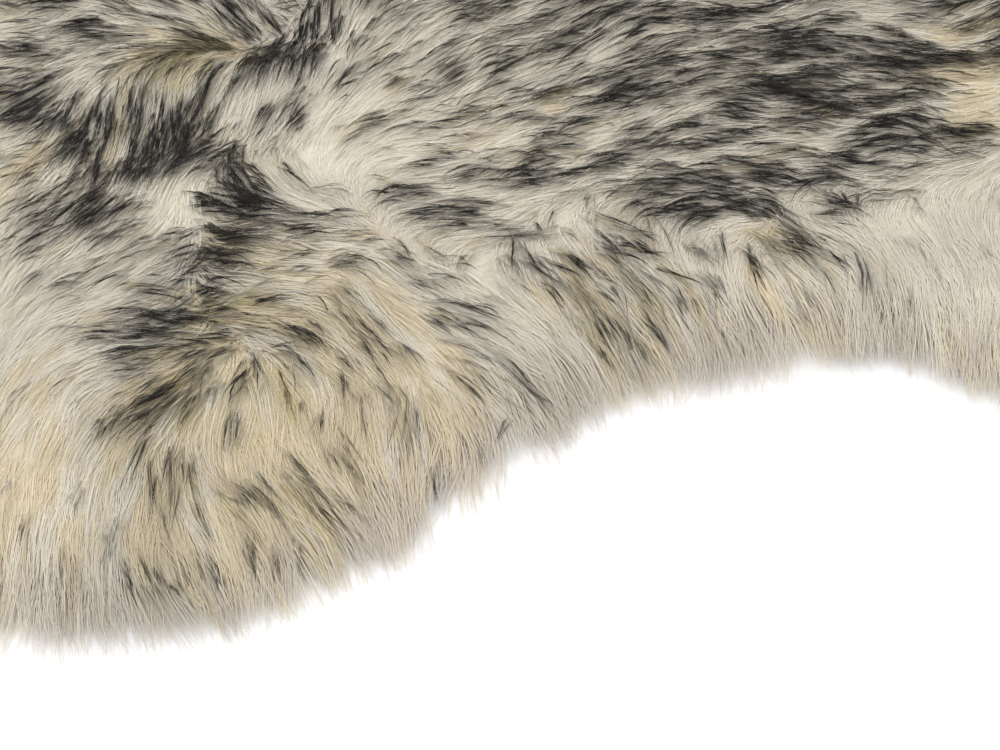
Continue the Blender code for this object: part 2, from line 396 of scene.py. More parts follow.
# Where the tips are dark. Each row is the middle in the photo, the length along the wool and the
# width across it in pixels, and how many of the tips there are dark.
darkTips = {
    "deepInside": 0.60,   # share of dark tips along the back
    "atRim": 0.07,
    "fromRim": 0.075,     # how far inside the rim the share starts and stops growing
    "toBack": 0.165,
    "patchVaries": 0.48,  # elsewhere than in the photo
    "patchLengths": ((0.085, 21), (0.034, 22)),  # each with the layer of its waves
    "photoBackground": 0.70,  # part of the plain share that is left under the rows below
    "fewer": 0.80,        # part of the tips left where only some of them are dark
    "singlyGrey": 0.45,   # how much the wisps on the sides grey the fleece under them
    "agreed": (0.35, 0.75),  # how far nearby headings agree where tips start to show, and all do
    "rumpStar": (
        (312, 34, 70, 46, 1.0), (284, 54, 60, 30, 1.0), (272, 50, 44, 26, 1.0), (334, 16, 44, 28, 1.0),
        (200, 30, 130, 8, 0.6), (198, 42, 130, 8, 0.6), (245, 20, 54, 10, 0.7), (132, 145, 110, 20, 0.9),
        (155, 148, 110, 20, 0.95), (176, 146, 100, 16, 0.95), (192, 142, 90, 18, 0.95),
        (206, 140, 60, 12, 0.8), (193, 78, 26, 10, 0.6), (211, 83, 42, 18, 0.6), (222, 160, 62, 34, 0.9),
        (250, 184, 62, 34, 0.9), (262, 202, 80, 26, 0.9), (260, 110, 28, 24, 0.75), (282, 123, 48, 34, 0.8),
        (351, 84, 50, 22, 0.85), (365, 122, 34, 18, 0.75), (240, 18, 54, 38, 0.85), (250, 60, 60, 30, 0.8),
        (290, 62, 50, 28, 0.9), (302, 64, 60, 36, 1.0), (266, 62, 40, 20, 1.0), (278, 22, 56, 26, 0.75),
        (140, 168, 70, 30, 0.9), (300, 178, 60, 26, 0.6), (190, 45, 150, 100, 0.62),
        (225, 140, 110, 80, 0.6),
    ),
    "saddle": (
        (450, 22, 40, 20, 0.85), (490, 10, 50, 18, 0.85), (434, 90, 70, 22, 0.9), (491, 73, 48, 16, 0.85),
        (525, 96, 34, 14, 0.75), (423, 164, 50, 10, 0.75), (451, 136, 30, 10, 0.6),
        (522, 178, 66, 22, 0.85), (575, 40, 90, 30, 0.7), (600, 105, 90, 26, 0.7), (641, 71, 50, 16, 0.8),
        (690, 50, 90, 26, 0.75), (752, 11, 116, 16, 0.85), (830, 45, 110, 24, 0.8), (772, 92, 100, 32, 1.0),
        (836, 106, 90, 30, 0.95), (675, 133, 56, 16, 0.85), (810, 170, 150, 36, 0.85),
        (690, 180, 150, 40, 0.82), (690, 207, 110, 30, 0.85), (746, 205, 80, 22, 0.66),
        (640, 214, 60, 20, 0.45), (700, 18, 80, 34, 1.0), (560, 15, 110, 30, 0.62), (600, 18, 90, 34, 0.85),
        (640, 18, 100, 30, 0.7), (445, 58, 60, 26, 0.8), (440, 18, 70, 30, 0.65), (450, 180, 60, 24, 0.75),
        (636, 176, 60, 24, 0.6), (852, 180, 50, 28, 0.75), (450, 215, 110, 28, 0.8),
        (505, 225, 60, 20, 0.5), (600, 165, 80, 20, 0.8), (910, 60, 110, 60, 0.85),
        (930, 140, 110, 50, 0.85), (790, 60, 240, 130, 0.68), (630, 145, 190, 64, 0.62),
        (850, 182, 60, 24, 0.8), (540, 165, 100, 34, 0.48), (540, 238, 90, 40, 0.5),
        (575, 262, 60, 30, 0.5), (600, 60, 240, 120, 0.5), (480, 70, 260, 160, 0.46),
        (620, 115, 260, 180, 0.56), (760, 90, 280, 200, 0.66), (860, 100, 160, 200, 0.68),
    ),
    "divide": (
        (250, 210, 100, 32, 1.0), (232, 238, 72, 32, 1.0), (224, 262, 66, 28, 1.0), (292, 211, 44, 9, 0.7),
        (328, 233, 84, 11, 0.75), (165, 262, 50, 14, 0.7), (165, 292, 40, 12, 0.6), (401, 196, 58, 20, 0.8),
        (170, 335, 150, 100, 0.6), (172, 248, 66, 34, 0.5), (196, 258, 64, 32, 0.9),
        (240, 298, 60, 28, 0.55), (145, 415, 60, 50, 0.7), (145, 340, 60, 40, 0.75),
        (285, 380, 60, 36, 0.5), (850, 256, 50, 30, 0.5), (172, 262, 80, 30, 0.7), (195, 262, 90, 34, 0.85),
        (240, 262, 60, 30, 0.6), (345, 222, 60, 30, 0.45), (450, 262, 80, 40, 0.28),
        (250, 378, 110, 50, 0.35), (158, 385, 120, 100, 0.45), (250, 320, 160, 60, 0.36),
        (550, 262, 130, 100, 0.28), (640, 290, 120, 130, 0.36), (335, 335, 140, 120, 0.34),
        (340, 250, 160, 80, 0.16), (470, 325, 120, 60, 0.16), (170, 500, 110, 130, 0.12),
        (205, 268, 80, 30, 0.95), (330, 500, 120, 90, 0.1), (800, 230, 150, 60, 0.3),
        (800, 256, 60, 36, 0.5), (750, 256, 60, 30, 0.35), (856, 196, 60, 36, 0.65),
    ),
    "haunch": (
        (212, 287, 104, 15, 0.9), (271, 323, 54, 12, 0.85), (306, 341, 50, 17, 0.75),
        (170, 330, 90, 36, 0.55), (150, 322, 40, 18, 0.8), (185, 372, 40, 26, 0.6),
        (140, 370, 40, 30, 0.45), (150, 262, 60, 14, 0.6), (340, 317, 24, 14, 0.7), (178, 350, 24, 10, 0.5),
        (195, 382, 24, 14, 0.7), (490, 232, 80, 20, 0.75), (522, 250, 36, 9, 0.7), (562, 194, 44, 11, 0.7),
        (592, 205, 26, 11, 0.7), (614, 256, 28, 14, 0.7), (546, 270, 38, 18, 0.75),
        (562, 291, 30, 18, 0.75), (430, 288, 40, 14, 0.65), (404, 269, 36, 12, 0.6),
        (448, 328, 34, 22, 0.7), (492, 327, 64, 20, 0.75), (486, 354, 46, 12, 0.7), (604, 322, 70, 24, 0.6),
        (407, 358, 28, 16, 0.65), (640, 285, 54, 28, 0.6), (652, 350, 44, 32, 0.5),
    ),
    "flank": (
        (808, 238, 60, 16, 0.8), (628, 236, 50, 14, 0.7), (650, 246, 40, 12, 0.6), (672, 236, 60, 8, 0.6),
        (773, 245, 32, 11, 0.7), (694, 255, 20, 12, 0.6), (724, 255, 28, 13, 0.65), (782, 265, 24, 14, 0.6),
        (716, 295, 28, 22, 0.65), (688, 304, 24, 18, 0.65), (811, 315, 42, 22, 0.35),
        (869, 288, 26, 12, 0.5),
    ),
    "hindLeg": (
        (144, 494, 92, 9, 0.85), (155, 510, 48, 9, 0.7), (166, 476, 32, 9, 0.7), (180, 497, 62, 14, 0.8),
        (193, 474, 24, 9, 0.6), (204, 526, 30, 12, 0.7), (227, 434, 36, 20, 0.65), (208, 397, 26, 16, 0.6),
        (147, 406, 46, 22, 0.7), (246, 500, 32, 20, 0.65), (269, 509, 48, 20, 0.7), (310, 485, 44, 28, 0.6),
        (332, 528, 46, 26, 0.65), (351, 466, 38, 22, 0.7), (319, 429, 20, 9, 0.6), (243, 386, 16, 8, 0.5),
        (303, 411, 16, 9, 0.5), (535, 397, 70, 28, 0.75), (483, 386, 42, 24, 0.7), (480, 459, 28, 9, 0.6),
        (435, 498, 34, 14, 0.6), (504, 434, 20, 12, 0.6), (401, 434, 42, 34, 0.5), (157, 602, 50, 34, 0.65),
        (187, 591, 30, 16, 0.65), (205, 575, 24, 16, 0.6), (223, 600, 34, 10, 0.65),
        (279, 596, 38, 10, 0.6), (300, 580, 46, 8, 0.6), (251, 567, 36, 18, 0.5),
    ),
}

# Where no more than a few of the tips are dark, whatever the rows above say.
clearWool = (
    (300, 100, 50, 36, 0.6), (420, 95, 90, 34, 0.5), (240, 140, 50, 30, 0.5), (500, 140, 140, 34, 0.4),
    (500, 205, 50, 40, 0.4), (450, 100, 60, 30, 0.5), (175, 368, 40, 34, 0.5), (580, 300, 60, 40, 0.5),
    (425, 300, 60, 40, 0.4), (600, 138, 60, 36, 0.9), (350, 18, 50, 34, 0.6), (800, 148, 60, 50, 0.35),
    (340, 300, 50, 36, 0.6), (250, 100, 40, 30, 0.6), (200, 16, 40, 30, 0.4), (680, 100, 110, 34, 0.4),
    (455, 140, 60, 30, 0.5), (270, 490, 140, 80, 0.9), (150, 565, 60, 60, 0.7), (205, 176, 40, 24, 0.5),
    (385, 98, 50, 34, 0.4), (660, 232, 50, 20, 0.4),
)

# Pale and yellow wool, written the same way, and where the cream is deeper and duller.
paleWool = (
    (172, 200, 90, 50, 1.0), (330, 145, 150, 80, 0.9), (430, 140, 80, 20, 0.6), (428, 50, 34, 20, 0.9),
    (490, 45, 32, 14, 0.9), (834, 8, 48, 10, 0.9), (680, 128, 28, 12, 0.8), (708, 106, 34, 12, 0.9),
    (760, 320, 240, 90, 1.0), (440, 440, 150, 110, 0.9), (560, 235, 60, 26, 0.6), (400, 225, 60, 20, 0.6),
    (240, 440, 60, 110, 0.5), (400, 400, 100, 40, 0.6), (600, 160, 60, 14, 0.7), (540, 60, 60, 14, 0.8),
)
yellowWool = (
    (178, 50, 120, 100, 0.75), (173, 85, 38, 34, 0.8), (194, 312, 30, 26, 1.0), (550, 100, 40, 18, 0.9),
    (552, 298, 30, 18, 0.9), (664, 304, 26, 22, 0.9), (765, 271, 26, 20, 0.7), (326, 461, 32, 26, 1.0),
    (282, 401, 28, 24, 0.9), (300, 430, 380, 260, 0.55), (230, 250, 60, 50, 0.6), (250, 300, 60, 30, 0.8),
    (440, 430, 170, 120, 0.45), (200, 560, 220, 110, 0.5), (640, 320, 150, 110, 0.42),
    (800, 300, 160, 80, 0.36), (170, 400, 170, 90, 0.55),
)
dullWool = (
    (190, 500, 260, 220, 0.3), (150, 400, 200, 120, 0.6), (190, 60, 240, 140, 0.5),
    (220, 260, 120, 90, 0.6), (340, 340, 200, 140, 0.55), (210, 320, 190, 140, 0.55),
    (160, 440, 150, 150, 0.7), (160, 140, 100, 90, 0.7), (635, 300, 120, 150, 0.5),
    (200, 610, 200, 50, 0.6),
)

photoPart = {"left": 60, "right": 960, "top": -60, "soft": 90}  # pixels that the rows above speak for
patchEdge = (1.65, 0.50)  # times a row's size: where its patch ends, and where it is full

# Yellowness and dullness everywhere: a level, then waves as an amount, a length and a layer.
woolVaries = {
    "yellow": (0.24, (0.20, 0.13, 31), (0.10, 0.04, 32)),
    "dull": (0.28, (0.20, 0.09, 41), (0.10, 0.03, 42)),
    "shownLess": 0.7,     # how much less of it there is where the photo shows the wool
    "yellowPatches": (0.25, 0.03, 33),
}


def overPatch(row):
    px, py, long, wide, amount = row
    at = fromPhoto(px, py)
    offX, offY = gridX - at[0], gridY - at[1]
    toX, toY = readAt(runX, at), readAt(runY, at)
    along = (offX * toX + offY * toY) / (0.5 * long * photoView["pixel"])
    across = (offX * toY - offY * toX) / (0.5 * wide * photoView["pixel"])
    return amount * smoothStep(*patchEdge, np.hypot(along, across))


def inPhoto():
    px, py = toPhoto(gridX, gridY)
    side = np.minimum(px - photoPart["left"], photoPart["right"] - px) / photoPart["soft"]
    return np.clip(np.minimum(side, (py - photoPart["top"]) / photoPart["soft"]), 0, 1)


def rowsOf(places):
    return [row for place in places for row in darkTips[place]]


def tipDarkness():
    share = smoothStep(darkTips["fromRim"], darkTips["toBack"], -outside)
    plain = darkTips["atRim"] + (darkTips["deepInside"] - darkTips["atRim"]) * share
    patches = sum(wander(gridX, gridY, length, layer) for length, layer in darkTips["patchLengths"])
    shown = inPhoto()
    varied = plain * (1 + darkTips["patchVaries"] * patches) * (1 - shown)
    dark = varied + plain * darkTips["photoBackground"] * shown
    for row in paleWool:
        dark = dark * (1 - overPatch(row))
    for row in rowsOf(backPlaces):
        dark = np.maximum(dark, overPatch(row))
    dark = np.clip(dark, 0, 1)
    for row in clearWool:
        dark = dark * (1 - overPatch(row))
    greys = dark.copy()
    for row in rowsOf(sidePlaces):
        greys = np.maximum(greys, darkTips["singlyGrey"] * overPatch(row))
    return dark * smoothStep(*darkTips["agreed"], agreed), greys


def uneven(name):
    level, *layers = woolVaries[name]
    for amount, length, layer in layers:
        level = level + amount * wander(gridX, gridY, length, layer)
    return level


def yellowness():
    warm = uneven("yellow") * (1 - woolVaries["shownLess"] * inPhoto())
    amount, length, layer = woolVaries["yellowPatches"]
    for row in yellowWool:
        warm = np.maximum(warm, overPatch(row) * (1 + amount * wander(gridX, gridY, length, layer)))
    return np.clip(warm, 0, 1)


def creamDepth():
    plain = uneven("dull")
    for row in dullWool:
        plain = np.maximum(plain, overPatch(row))
    for row in paleWool:
        plain = plain * (1 - woolVaries["shownLess"] * overPatch(row))
    return np.clip(blur(plain, 4), 0, 1)


# 1 where the wool parts and lies away on both sides
def partingField():
    apart = blur(slopeOf(runX)[0] + slopeOf(runY)[1], 2)
    return blur(smoothStep(*woolRun["parts"], apart), 2)


# Grain drawn out along the run of the wool, as even parts from 0 to 1. The dark tips stand together in
# the lowest parts of one such field, and the cream varies with another.
streaks = {
    "cell": 0.0015,
    "pace": 1.5,                    # cells to a step along the wool
    "dark": (0.0022, 0.007, 61),    # width, reach, seed
    "cream": (0.0036, 0.020, 62),
}


def streakField(name):
    width, reach, seed = streaks[name]
    cell = streaks["cell"]
    chance = np.random.default_rng(seed)
    grain = chance.uniform(0, 1, (int(2 * field["halfY"] / width), int(2 * field["halfX"] / width)))
    fineX, fineY = np.meshgrid(*(np.arange(-half, half, cell) for half in halves))
    total = np.zeros(fineX.shape)
    steps = int(reach / (streaks["pace"] * cell))
    for way in (-1, 1):
        x, y = fineX, fineY
        for _ in range(steps):
            total += readField(grain, x, y)
            stepX, stepY = readField(runX, x, y), readField(runY, x, y)
            x, y = x + way * reach / steps * stepX, y + way * reach / steps * stepY
    part = np.empty(total.size)
    part[np.argsort(total, axis=None, kind="stable")] = np.linspace(0, 1, total.size)
    return part.reshape(total.shape)


parting = partingField()
darkStreaks, creamStreaks = streakField("dark"), streakField("cream")
darkness, greyness = tipDarkness()
shade = creamDepth()
warmth = yellowness()
print("run of the wool and its colours laid out")

# The wool's colours, each a colour at the root, halfway and at the tip. The roots are yellower, as the wool
# is there, and darker as painted shade down among the strands.
woolDye = {
    "classes": 32,        # steps from cream to the darkest tips
    "paleTones": 0.14,    # part of those steps that has no dark tips, only a lighter or deeper cream
    "light": (1.06, 0.72),      # of the lightest and the deepest cream
    "halfway": 0.30,      # where along a strand its middle colour is
    "ivory": ((0.67, 0.62, 0.52), (0.72, 0.67, 0.57), (0.75, 0.70, 0.60)),
    "cream": ((0.63, 0.54, 0.37), (0.71, 0.61, 0.43), (0.74, 0.65, 0.48)),
    "straw": ((0.56, 0.46, 0.23), (0.66, 0.56, 0.31), (0.69, 0.60, 0.38)),
    # a darker, pinker cream for the locks past the rim: painted shade where the wool rolls down away from the
    # light
    "shadedRim": ((0.57, 0.49, 0.40), (0.62, 0.55, 0.46), (0.67, 0.61, 0.53)),
    "charcoal": (0.020, 0.019, 0.016, 1.0),
    "darkFrom": (1.02, 0.03),   # where along the palest and the darkest strands their dark tips start
    "darkBlend": 0.30,
    "darkTones": (0.16, 0.85),  # tones where the dark tips begin to show, and are full
    "roughness": 0.80,
    "shine": 0.12,
}
hues = ("ivory", "cream", "straw", "shadedRim")
cellEdge = 0.06  # kept clear at each side of a cell of the colour map


# sets or links a node's inputs, by name with _ for a space, or by place as at0
def fill(tree, node, **inputs):
    for name, value in inputs.items():
        place = int(name[2:]) if name[2:].isdigit() else name.replace("_", " ")
        if isinstance(value, bpy.types.NodeSocket):
            tree.links.new(value, node.inputs[place])
        else:
            node.inputs[place].default_value = value
    return node


def addNode(tree, kind, settings=None, **inputs):
    node = tree.nodes.new(kind)
    for name, value in (settings or {}).items():
        setattr(node, name, value)
    return fill(tree, node, **inputs)


def sums(tree, operation, first, second=0.0, third=0.5, clamp=False):
    settings = {"operation": operation, "use_clamp": clamp}
    return addNode(tree, "ShaderNodeMath", settings, at0=first, at1=second, at2=third).outputs[0]


def mixOf(tree, part, first, second):
    return addNode(tree, "ShaderNodeMix", {"data_type": "RGBA"}, at0=part, at6=first, at7=second).outputs[2]


def rangeOf(tree, value, fromLow, fromHigh, toLow=0.0, toHigh=1.0, smooth=True):
    settings = {"interpolation_type": "SMOOTHSTEP" if smooth else "LINEAR"}
    return addNode(tree, "ShaderNodeMapRange", settings, Value=value, From_Min=fromLow, From_Max=fromHigh,
                   To_Min=toLow, To_Max=toHigh).outputs[0]


def rampOf(tree, value, stops):
    node = addNode(tree, "ShaderNodeValToRGB", Fac=value)
    ramp = node.color_ramp
    while len(ramp.elements) < len(stops):
        ramp.elements.new(0.5)
    for element, (place, colour) in zip(ramp.elements, stops):
        element.position = place
        element.color = (*colour, 1.0)
    return node.outputs["Color"]


def scaled(tree, colour, factor):
    return addNode(tree, "ShaderNodeVectorMath", {"operation": "SCALE"}, at0=colour, Scale=factor).outputs[0]


mostNoise = (0.3, 0.7)  # most values of a noise lie between these


def noiseOf(tree, where, scale, detail):
    return addNode(tree, "ShaderNodeTexNoise", Vector=where, Scale=scale, Detail=detail).outputs["Fac"]


def bumpOf(tree, height, strength, distance):
    return addNode(tree, "ShaderNodeBump", Height=height, Strength=strength, Distance=distance).outputs[0]


def newMaterial(name):
    material = bpy.data.materials.new(name)
    material.use_nodes = True
    return material, material.node_tree, material.node_tree.nodes["Principled BSDF"]


# The strands read their colours from a map of cells: tone steps across, hues up, and the way
# from root to tip up each cell.
def strandMaterial():
    material, tree, shader = newMaterial("longWool")
    where = addNode(tree, "ShaderNodeUVMap", {"uv_map": "OFBake"}).outputs["UV"]
    split = addNode(tree, "ShaderNodeSeparateXYZ", Vector=where).outputs
    classes, pale = woolDye["classes"], woolDye["paleTones"]
    step = sums(tree, "FLOOR", sums(tree, "MULTIPLY", split["X"], classes))
    tone = sums(tree, "DIVIDE", step, classes - 1.0, clamp=True)
    raised = sums(tree, "MULTIPLY", split["Y"], float(len(hues)))
    hue, cell = sums(tree, "FLOOR", raised), sums(tree, "FRACT", raised)
    along = rangeOf(tree, cell, cellEdge, 1 - cellEdge, smooth=False)
    colour = None
    for place, name in enumerate(hues):
        # from the root, darker with painted shade among the strands, out to the tip
        ramp = rampOf(tree, along, tuple(zip((0.0, woolDye["halfway"], 1.0), woolDye[name])))
        picked = sums(tree, "GREATER_THAN", hue, place - 0.5)
        colour = ramp if colour is None else mixOf(tree, picked, colour, ramp)
    light = rangeOf(tree, tone, 0.0, pale, *woolDye["light"], smooth=False)
    begins = rangeOf(tree, tone, 0.0, 1.0, *woolDye["darkFrom"], smooth=False)
    reach = rangeOf(tree, along, begins, sums(tree, "ADD", begins, woolDye["darkBlend"]))
    dark = sums(tree, "MULTIPLY", reach, rangeOf(tree, tone, *woolDye["darkTones"]))
    colour = mixOf(tree, dark, scaled(tree, colour, light), woolDye["charcoal"])
    fill(tree, shader, Base_Color=colour, Roughness=woolDye["roughness"], Specular_IOR_Level=woolDye["shine"])
    return material


# The bed is the close underwool that shows between the locks. It is painted darker than the wool over it, as
# the shade down there.
bed = {
    "under": 0.0030,      # how far its top lies below the wool's
    "outset": 0.002,      # how far its foot lies out of the hide's rim, under the fringe
    "spacing": 0.0085,
    "foot": 0.0010,
    "lowest": 0.0025,     # the least that its top lies over the floor
    "sideSteps": ((0.001, 0.30), (0.004, 0.65), (0.009, 1.00)),  # in from the foot, part of the height
    "fields": ("warm", "dull", "grey"),
    "grey": (0.16, 0.15, 0.125, 1.0),
    "greyest": 0.75,
    "paintedShade": 0.06,       # darker than the wool over it: painted shade between the locks
    "fibre": 520.0,       # fibres to a metre, across them
    "along": 0.4,         # how many of them along them, to one across
    "flecks": (0.90, 1.06),
    "relief": (0.6, 0.0008),  # strength, metres
    "roughness": 0.85,
    "shine": 0.15,
}


def bedMaterial():
    material, tree, shader = newMaterial("underwool")
    where = addNode(tree, "ShaderNodeTexCoord").outputs["Object"]
    streak = addNode(tree, "ShaderNodeMapping", Vector=where, Scale=(bed["along"], 1.0, 1.0)).outputs[0]
    fibres = noiseOf(tree, streak, bed["fibre"], 2.0)
    warm, dull, grey = (addNode(tree, "ShaderNodeAttribute", {"attribute_name": name}).outputs["Fac"]
                        for name in bed["fields"])
    colour = mixOf(tree, warm, *((*woolDye[name][1], 1.0) for name in ("ivory", "straw")))
    lightest, deepest = woolDye["light"]
    # the bed's cream is taken darker than the wool over it, as painted shade between the locks
    light = sums(tree, "MULTIPLY_ADD", dull, deepest - lightest, lightest - bed["paintedShade"])
    colour = scaled(tree, scaled(tree, colour, light), rangeOf(tree, fibres, *mostNoise, *bed["flecks"]))
    colour = mixOf(tree, sums(tree, "MULTIPLY", grey, bed["greyest"]), colour, bed["grey"])
    fill(tree, shader, Base_Color=colour, Normal=bumpOf(tree, fibres, *bed["relief"]),
         Roughness=bed["roughness"], Specular_IOR_Level=bed["shine"])
    return material


rowHeight = math.sqrt(0.75)  # of points a spacing apart, in rows that are half a spacing off each other
clearOfRing = 0.6            # spacings


def pointsInside(inset, spacing):
    rows = int(2 * field["halfY"] / (spacing * rowHeight))
    columns = int(2 * field["halfX"] / spacing)
    row, column = np.meshgrid(np.arange(rows), np.arange(columns), indexing="ij")
    x = (-field["halfX"] + (column + 0.5 * (row % 2)) * spacing).ravel()
    y = (-field["halfY"] + row * spacing * rowHeight).ravel()
    keep = readField(outside, x, y) < -inset - clearOfRing * spacing
    return np.column_stack([x[keep], y[keep]])


# a closed slab: rings from the foot up, a top over the last ring, and a flat underside
def closedSlab(name, rings, inner, innerHeights):
    count = len(rings[0])
    points = [point for ring in rings for point in ring]
    last = (len(rings) - 1) * count
    flat = [Vector(point[:2]) for point in rings[-1]] + [Vector(point) for point in inner]
    border = [(i, (i + 1) % count) for i in range(count)]
    triangles = delaunay_2d_cdt(flat, border, [], 1, 1e-7)[2]
    points += [(x, y, z) for (x, y), z in zip(inner, innerHeights)]
    faces = [tuple(last + i for i in triangle) for triangle in triangles]
    for start in range(0, last, count):
        faces += [(start + i, start + j, start + count + j, start + count + i) for i, j in border]
    faces.append(tuple(reversed(range(count))))
    mesh = bpy.data.meshes.new(name)
    mesh.from_pydata(points, [], faces)
    mesh.update()
    mesh.shade_smooth()
    return placeObject(name, mesh)


ringPoints = 300


def ringAt(inset, heights):
    ring = evenRound(rim - outOf(rim) * inset, ringPoints)
    return [(x, y, z) for (x, y), z in zip(ring, np.broadcast_to(heights, ringPoints))]


# how high the bed lies at points on the floor
def bedHeights(x, y):
    return np.maximum(readField(woolTop, x, y) - bed["under"], bed["lowest"])


def addValues(mesh, key, values, kind="FLOAT"):
    made = mesh.attributes.new(key, kind, "POINT")
    made.data.foreach_set("value" if kind == "FLOAT" else "vector", values.astype(np.float32).ravel())


def makeBed():
    rings = [ringAt(-bed["outset"], bed["foot"])]
    for inset, part in bed["sideSteps"]:
        top = bedHeights(*evenRound(rim + outOf(rim) * (bed["outset"] - inset), ringPoints).T)
        rings.append(ringAt(inset - bed["outset"], bed["foot"] + (top - bed["foot"]) * part))
    inner = pointsInside(bed["sideSteps"][-1][0] - bed["outset"], bed["spacing"])
    piece = closedSlab("bedOfWool", rings, inner, bedHeights(*inner.T))
    places = np.array([vertex.co[:2] for vertex in piece.data.vertices])
    for key, values in zip(bed["fields"], (warmth, shade, greyness)):
        addValues(piece.data, key, readField(values, *places.T))
    piece.data.materials.append(bedMaterial())
    return piece


skinSide = {
    "inset": 0.006,
    "thick": 0.0020,
    "edge": 0.0006,       # taken off the cut edge, above and below
    "spacing": 0.016,
    "colour": (0.66, 0.58, 0.46, 1.0),
    "stain": (0.56, 0.47, 0.35, 1.0),
    "brushed": (0.72, 0.64, 0.52, 1.0),
    "stains": (0.35, 0.70),  # values of the clouds where the stain begins, and is full
    "lifted": 0.25,       # most of the brushed colour over the others
    "clouds": 9.0,        # to a metre, as the nap and the pores
    "nap": 900.0,
    "pores": 420.0,
    "relief": (0.35, 0.0004),  # strength, metres
    "roughness": (0.80, 0.95),
    "shine": 0.2,
}


def suedeMaterial():
    material, tree, shader = newMaterial("suede")
    where = addNode(tree, "ShaderNodeTexCoord").outputs["Object"]
    clouds = noiseOf(tree, where, skinSide["clouds"], 4.0)
    nap = noiseOf(tree, where, skinSide["nap"], 2.0)
    pores = addNode(tree, "ShaderNodeTexVoronoi", Vector=where, Scale=skinSide["pores"]).outputs["Distance"]
    colour = mixOf(tree, rangeOf(tree, clouds, *skinSide["stains"]), skinSide["colour"], skinSide["stain"])
    lifted = rangeOf(tree, nap, *mostNoise, 0.0, skinSide["lifted"])
    colour = mixOf(tree, lifted, colour, skinSide["brushed"])
    rough = rangeOf(tree, clouds, *mostNoise, *skinSide["roughness"])
    bump = bumpOf(tree, sums(tree, "ADD", nap, pores), *skinSide["relief"])
    fill(tree, shader, Base_Color=colour, Normal=bump,
         Roughness=rough, Specular_IOR_Level=skinSide["shine"])
    return material


def makeSkin():
    inset, thick, edge = skinSide["inset"], skinSide["thick"], skinSide["edge"]
    steps = ((inset + edge, 0.0), (inset, edge), (inset, thick - edge), (inset + edge, thick))
    inner = pointsInside(inset + edge, skinSide["spacing"])
    piece = closedSlab("skin", [ringAt(*step) for step in steps], inner, np.full(len(inner), thick))
    piece.data.materials.append(suedeMaterial())
    return piece


bedPiece = makeBed()
skinPiece = makeSkin()
print("bed and skin made")

# The long wool: an even fleece in two layers, dark tips over it where the wool has them, single
# wisps, and rows of locks that hang from the rim.
longWool = {
    "seed": 7,
    "trunk": 0.042,       # the wool's full height, to which the depths below belong
    "tries": 9,           # roots tried, times as many as would fill the field
    "rootsOut": 0.008,    # how far out of the rim some still are
    "steps": 16,
    "fewest": 5,          # steps that a lock has even where the fringe is cut
    "kept": 8,            # points kept along each lock
    "floor": 0.0006,
    "ownNormal": 0.15,    # part of a strand's shading that is its own
    "reach": 0.0345,      # how far the tips lie out of the rim
    "reachVaries": (0.004, 0.5, 0.6),  # and how much of that is shared by neighbours, and a lock's own
    "clumps": 0.04,       # metres from one clump of a longer fringe to the next
    "fringeGrows": 55.0,  # part longer for each metre that the fringe reaches further
    "rootsBack": (0.3, 0.7),  # part of a lock's length that lies behind its place
    "shortTips": (0.5, 0.6),  # the shortest tips, and how dark the wool is where they are full
    "strayLength": 0.020,
    "bendLength": 0.030,
    "rimStray": 1.6,      # times as much stray near the rim as over the back
    "rimStrayFrom": (-0.10, -0.01),
    "rimCurlFrom": (-0.15, -0.07),
    "partingShort": 0.35,
    "partingStray": 16.0,
    "partingNear": 0.4,   # part less that the tips there lie ahead of their roots
    "partingMixes": 0.0035,  # how far the tips on both sides of a parting run into each other
    "partingWaves": (0.009, 71, 72),
    "curlsFrom": 0.35,    # part of its length where a curling lock lies as the wool does
    "rise": 2.6,          # how soon a lock comes up out of the bed
    "droop": (0.003, 0.75),  # how far its tip drops, and from which part of its length
    "waist": (1.3, 0.77),
    "awayWider": 0.4,     # part wider where the strands are fewer
    "taper": 1.5,
    "colourAt": 0.6,      # part of a lock's length where it reads its colour
}
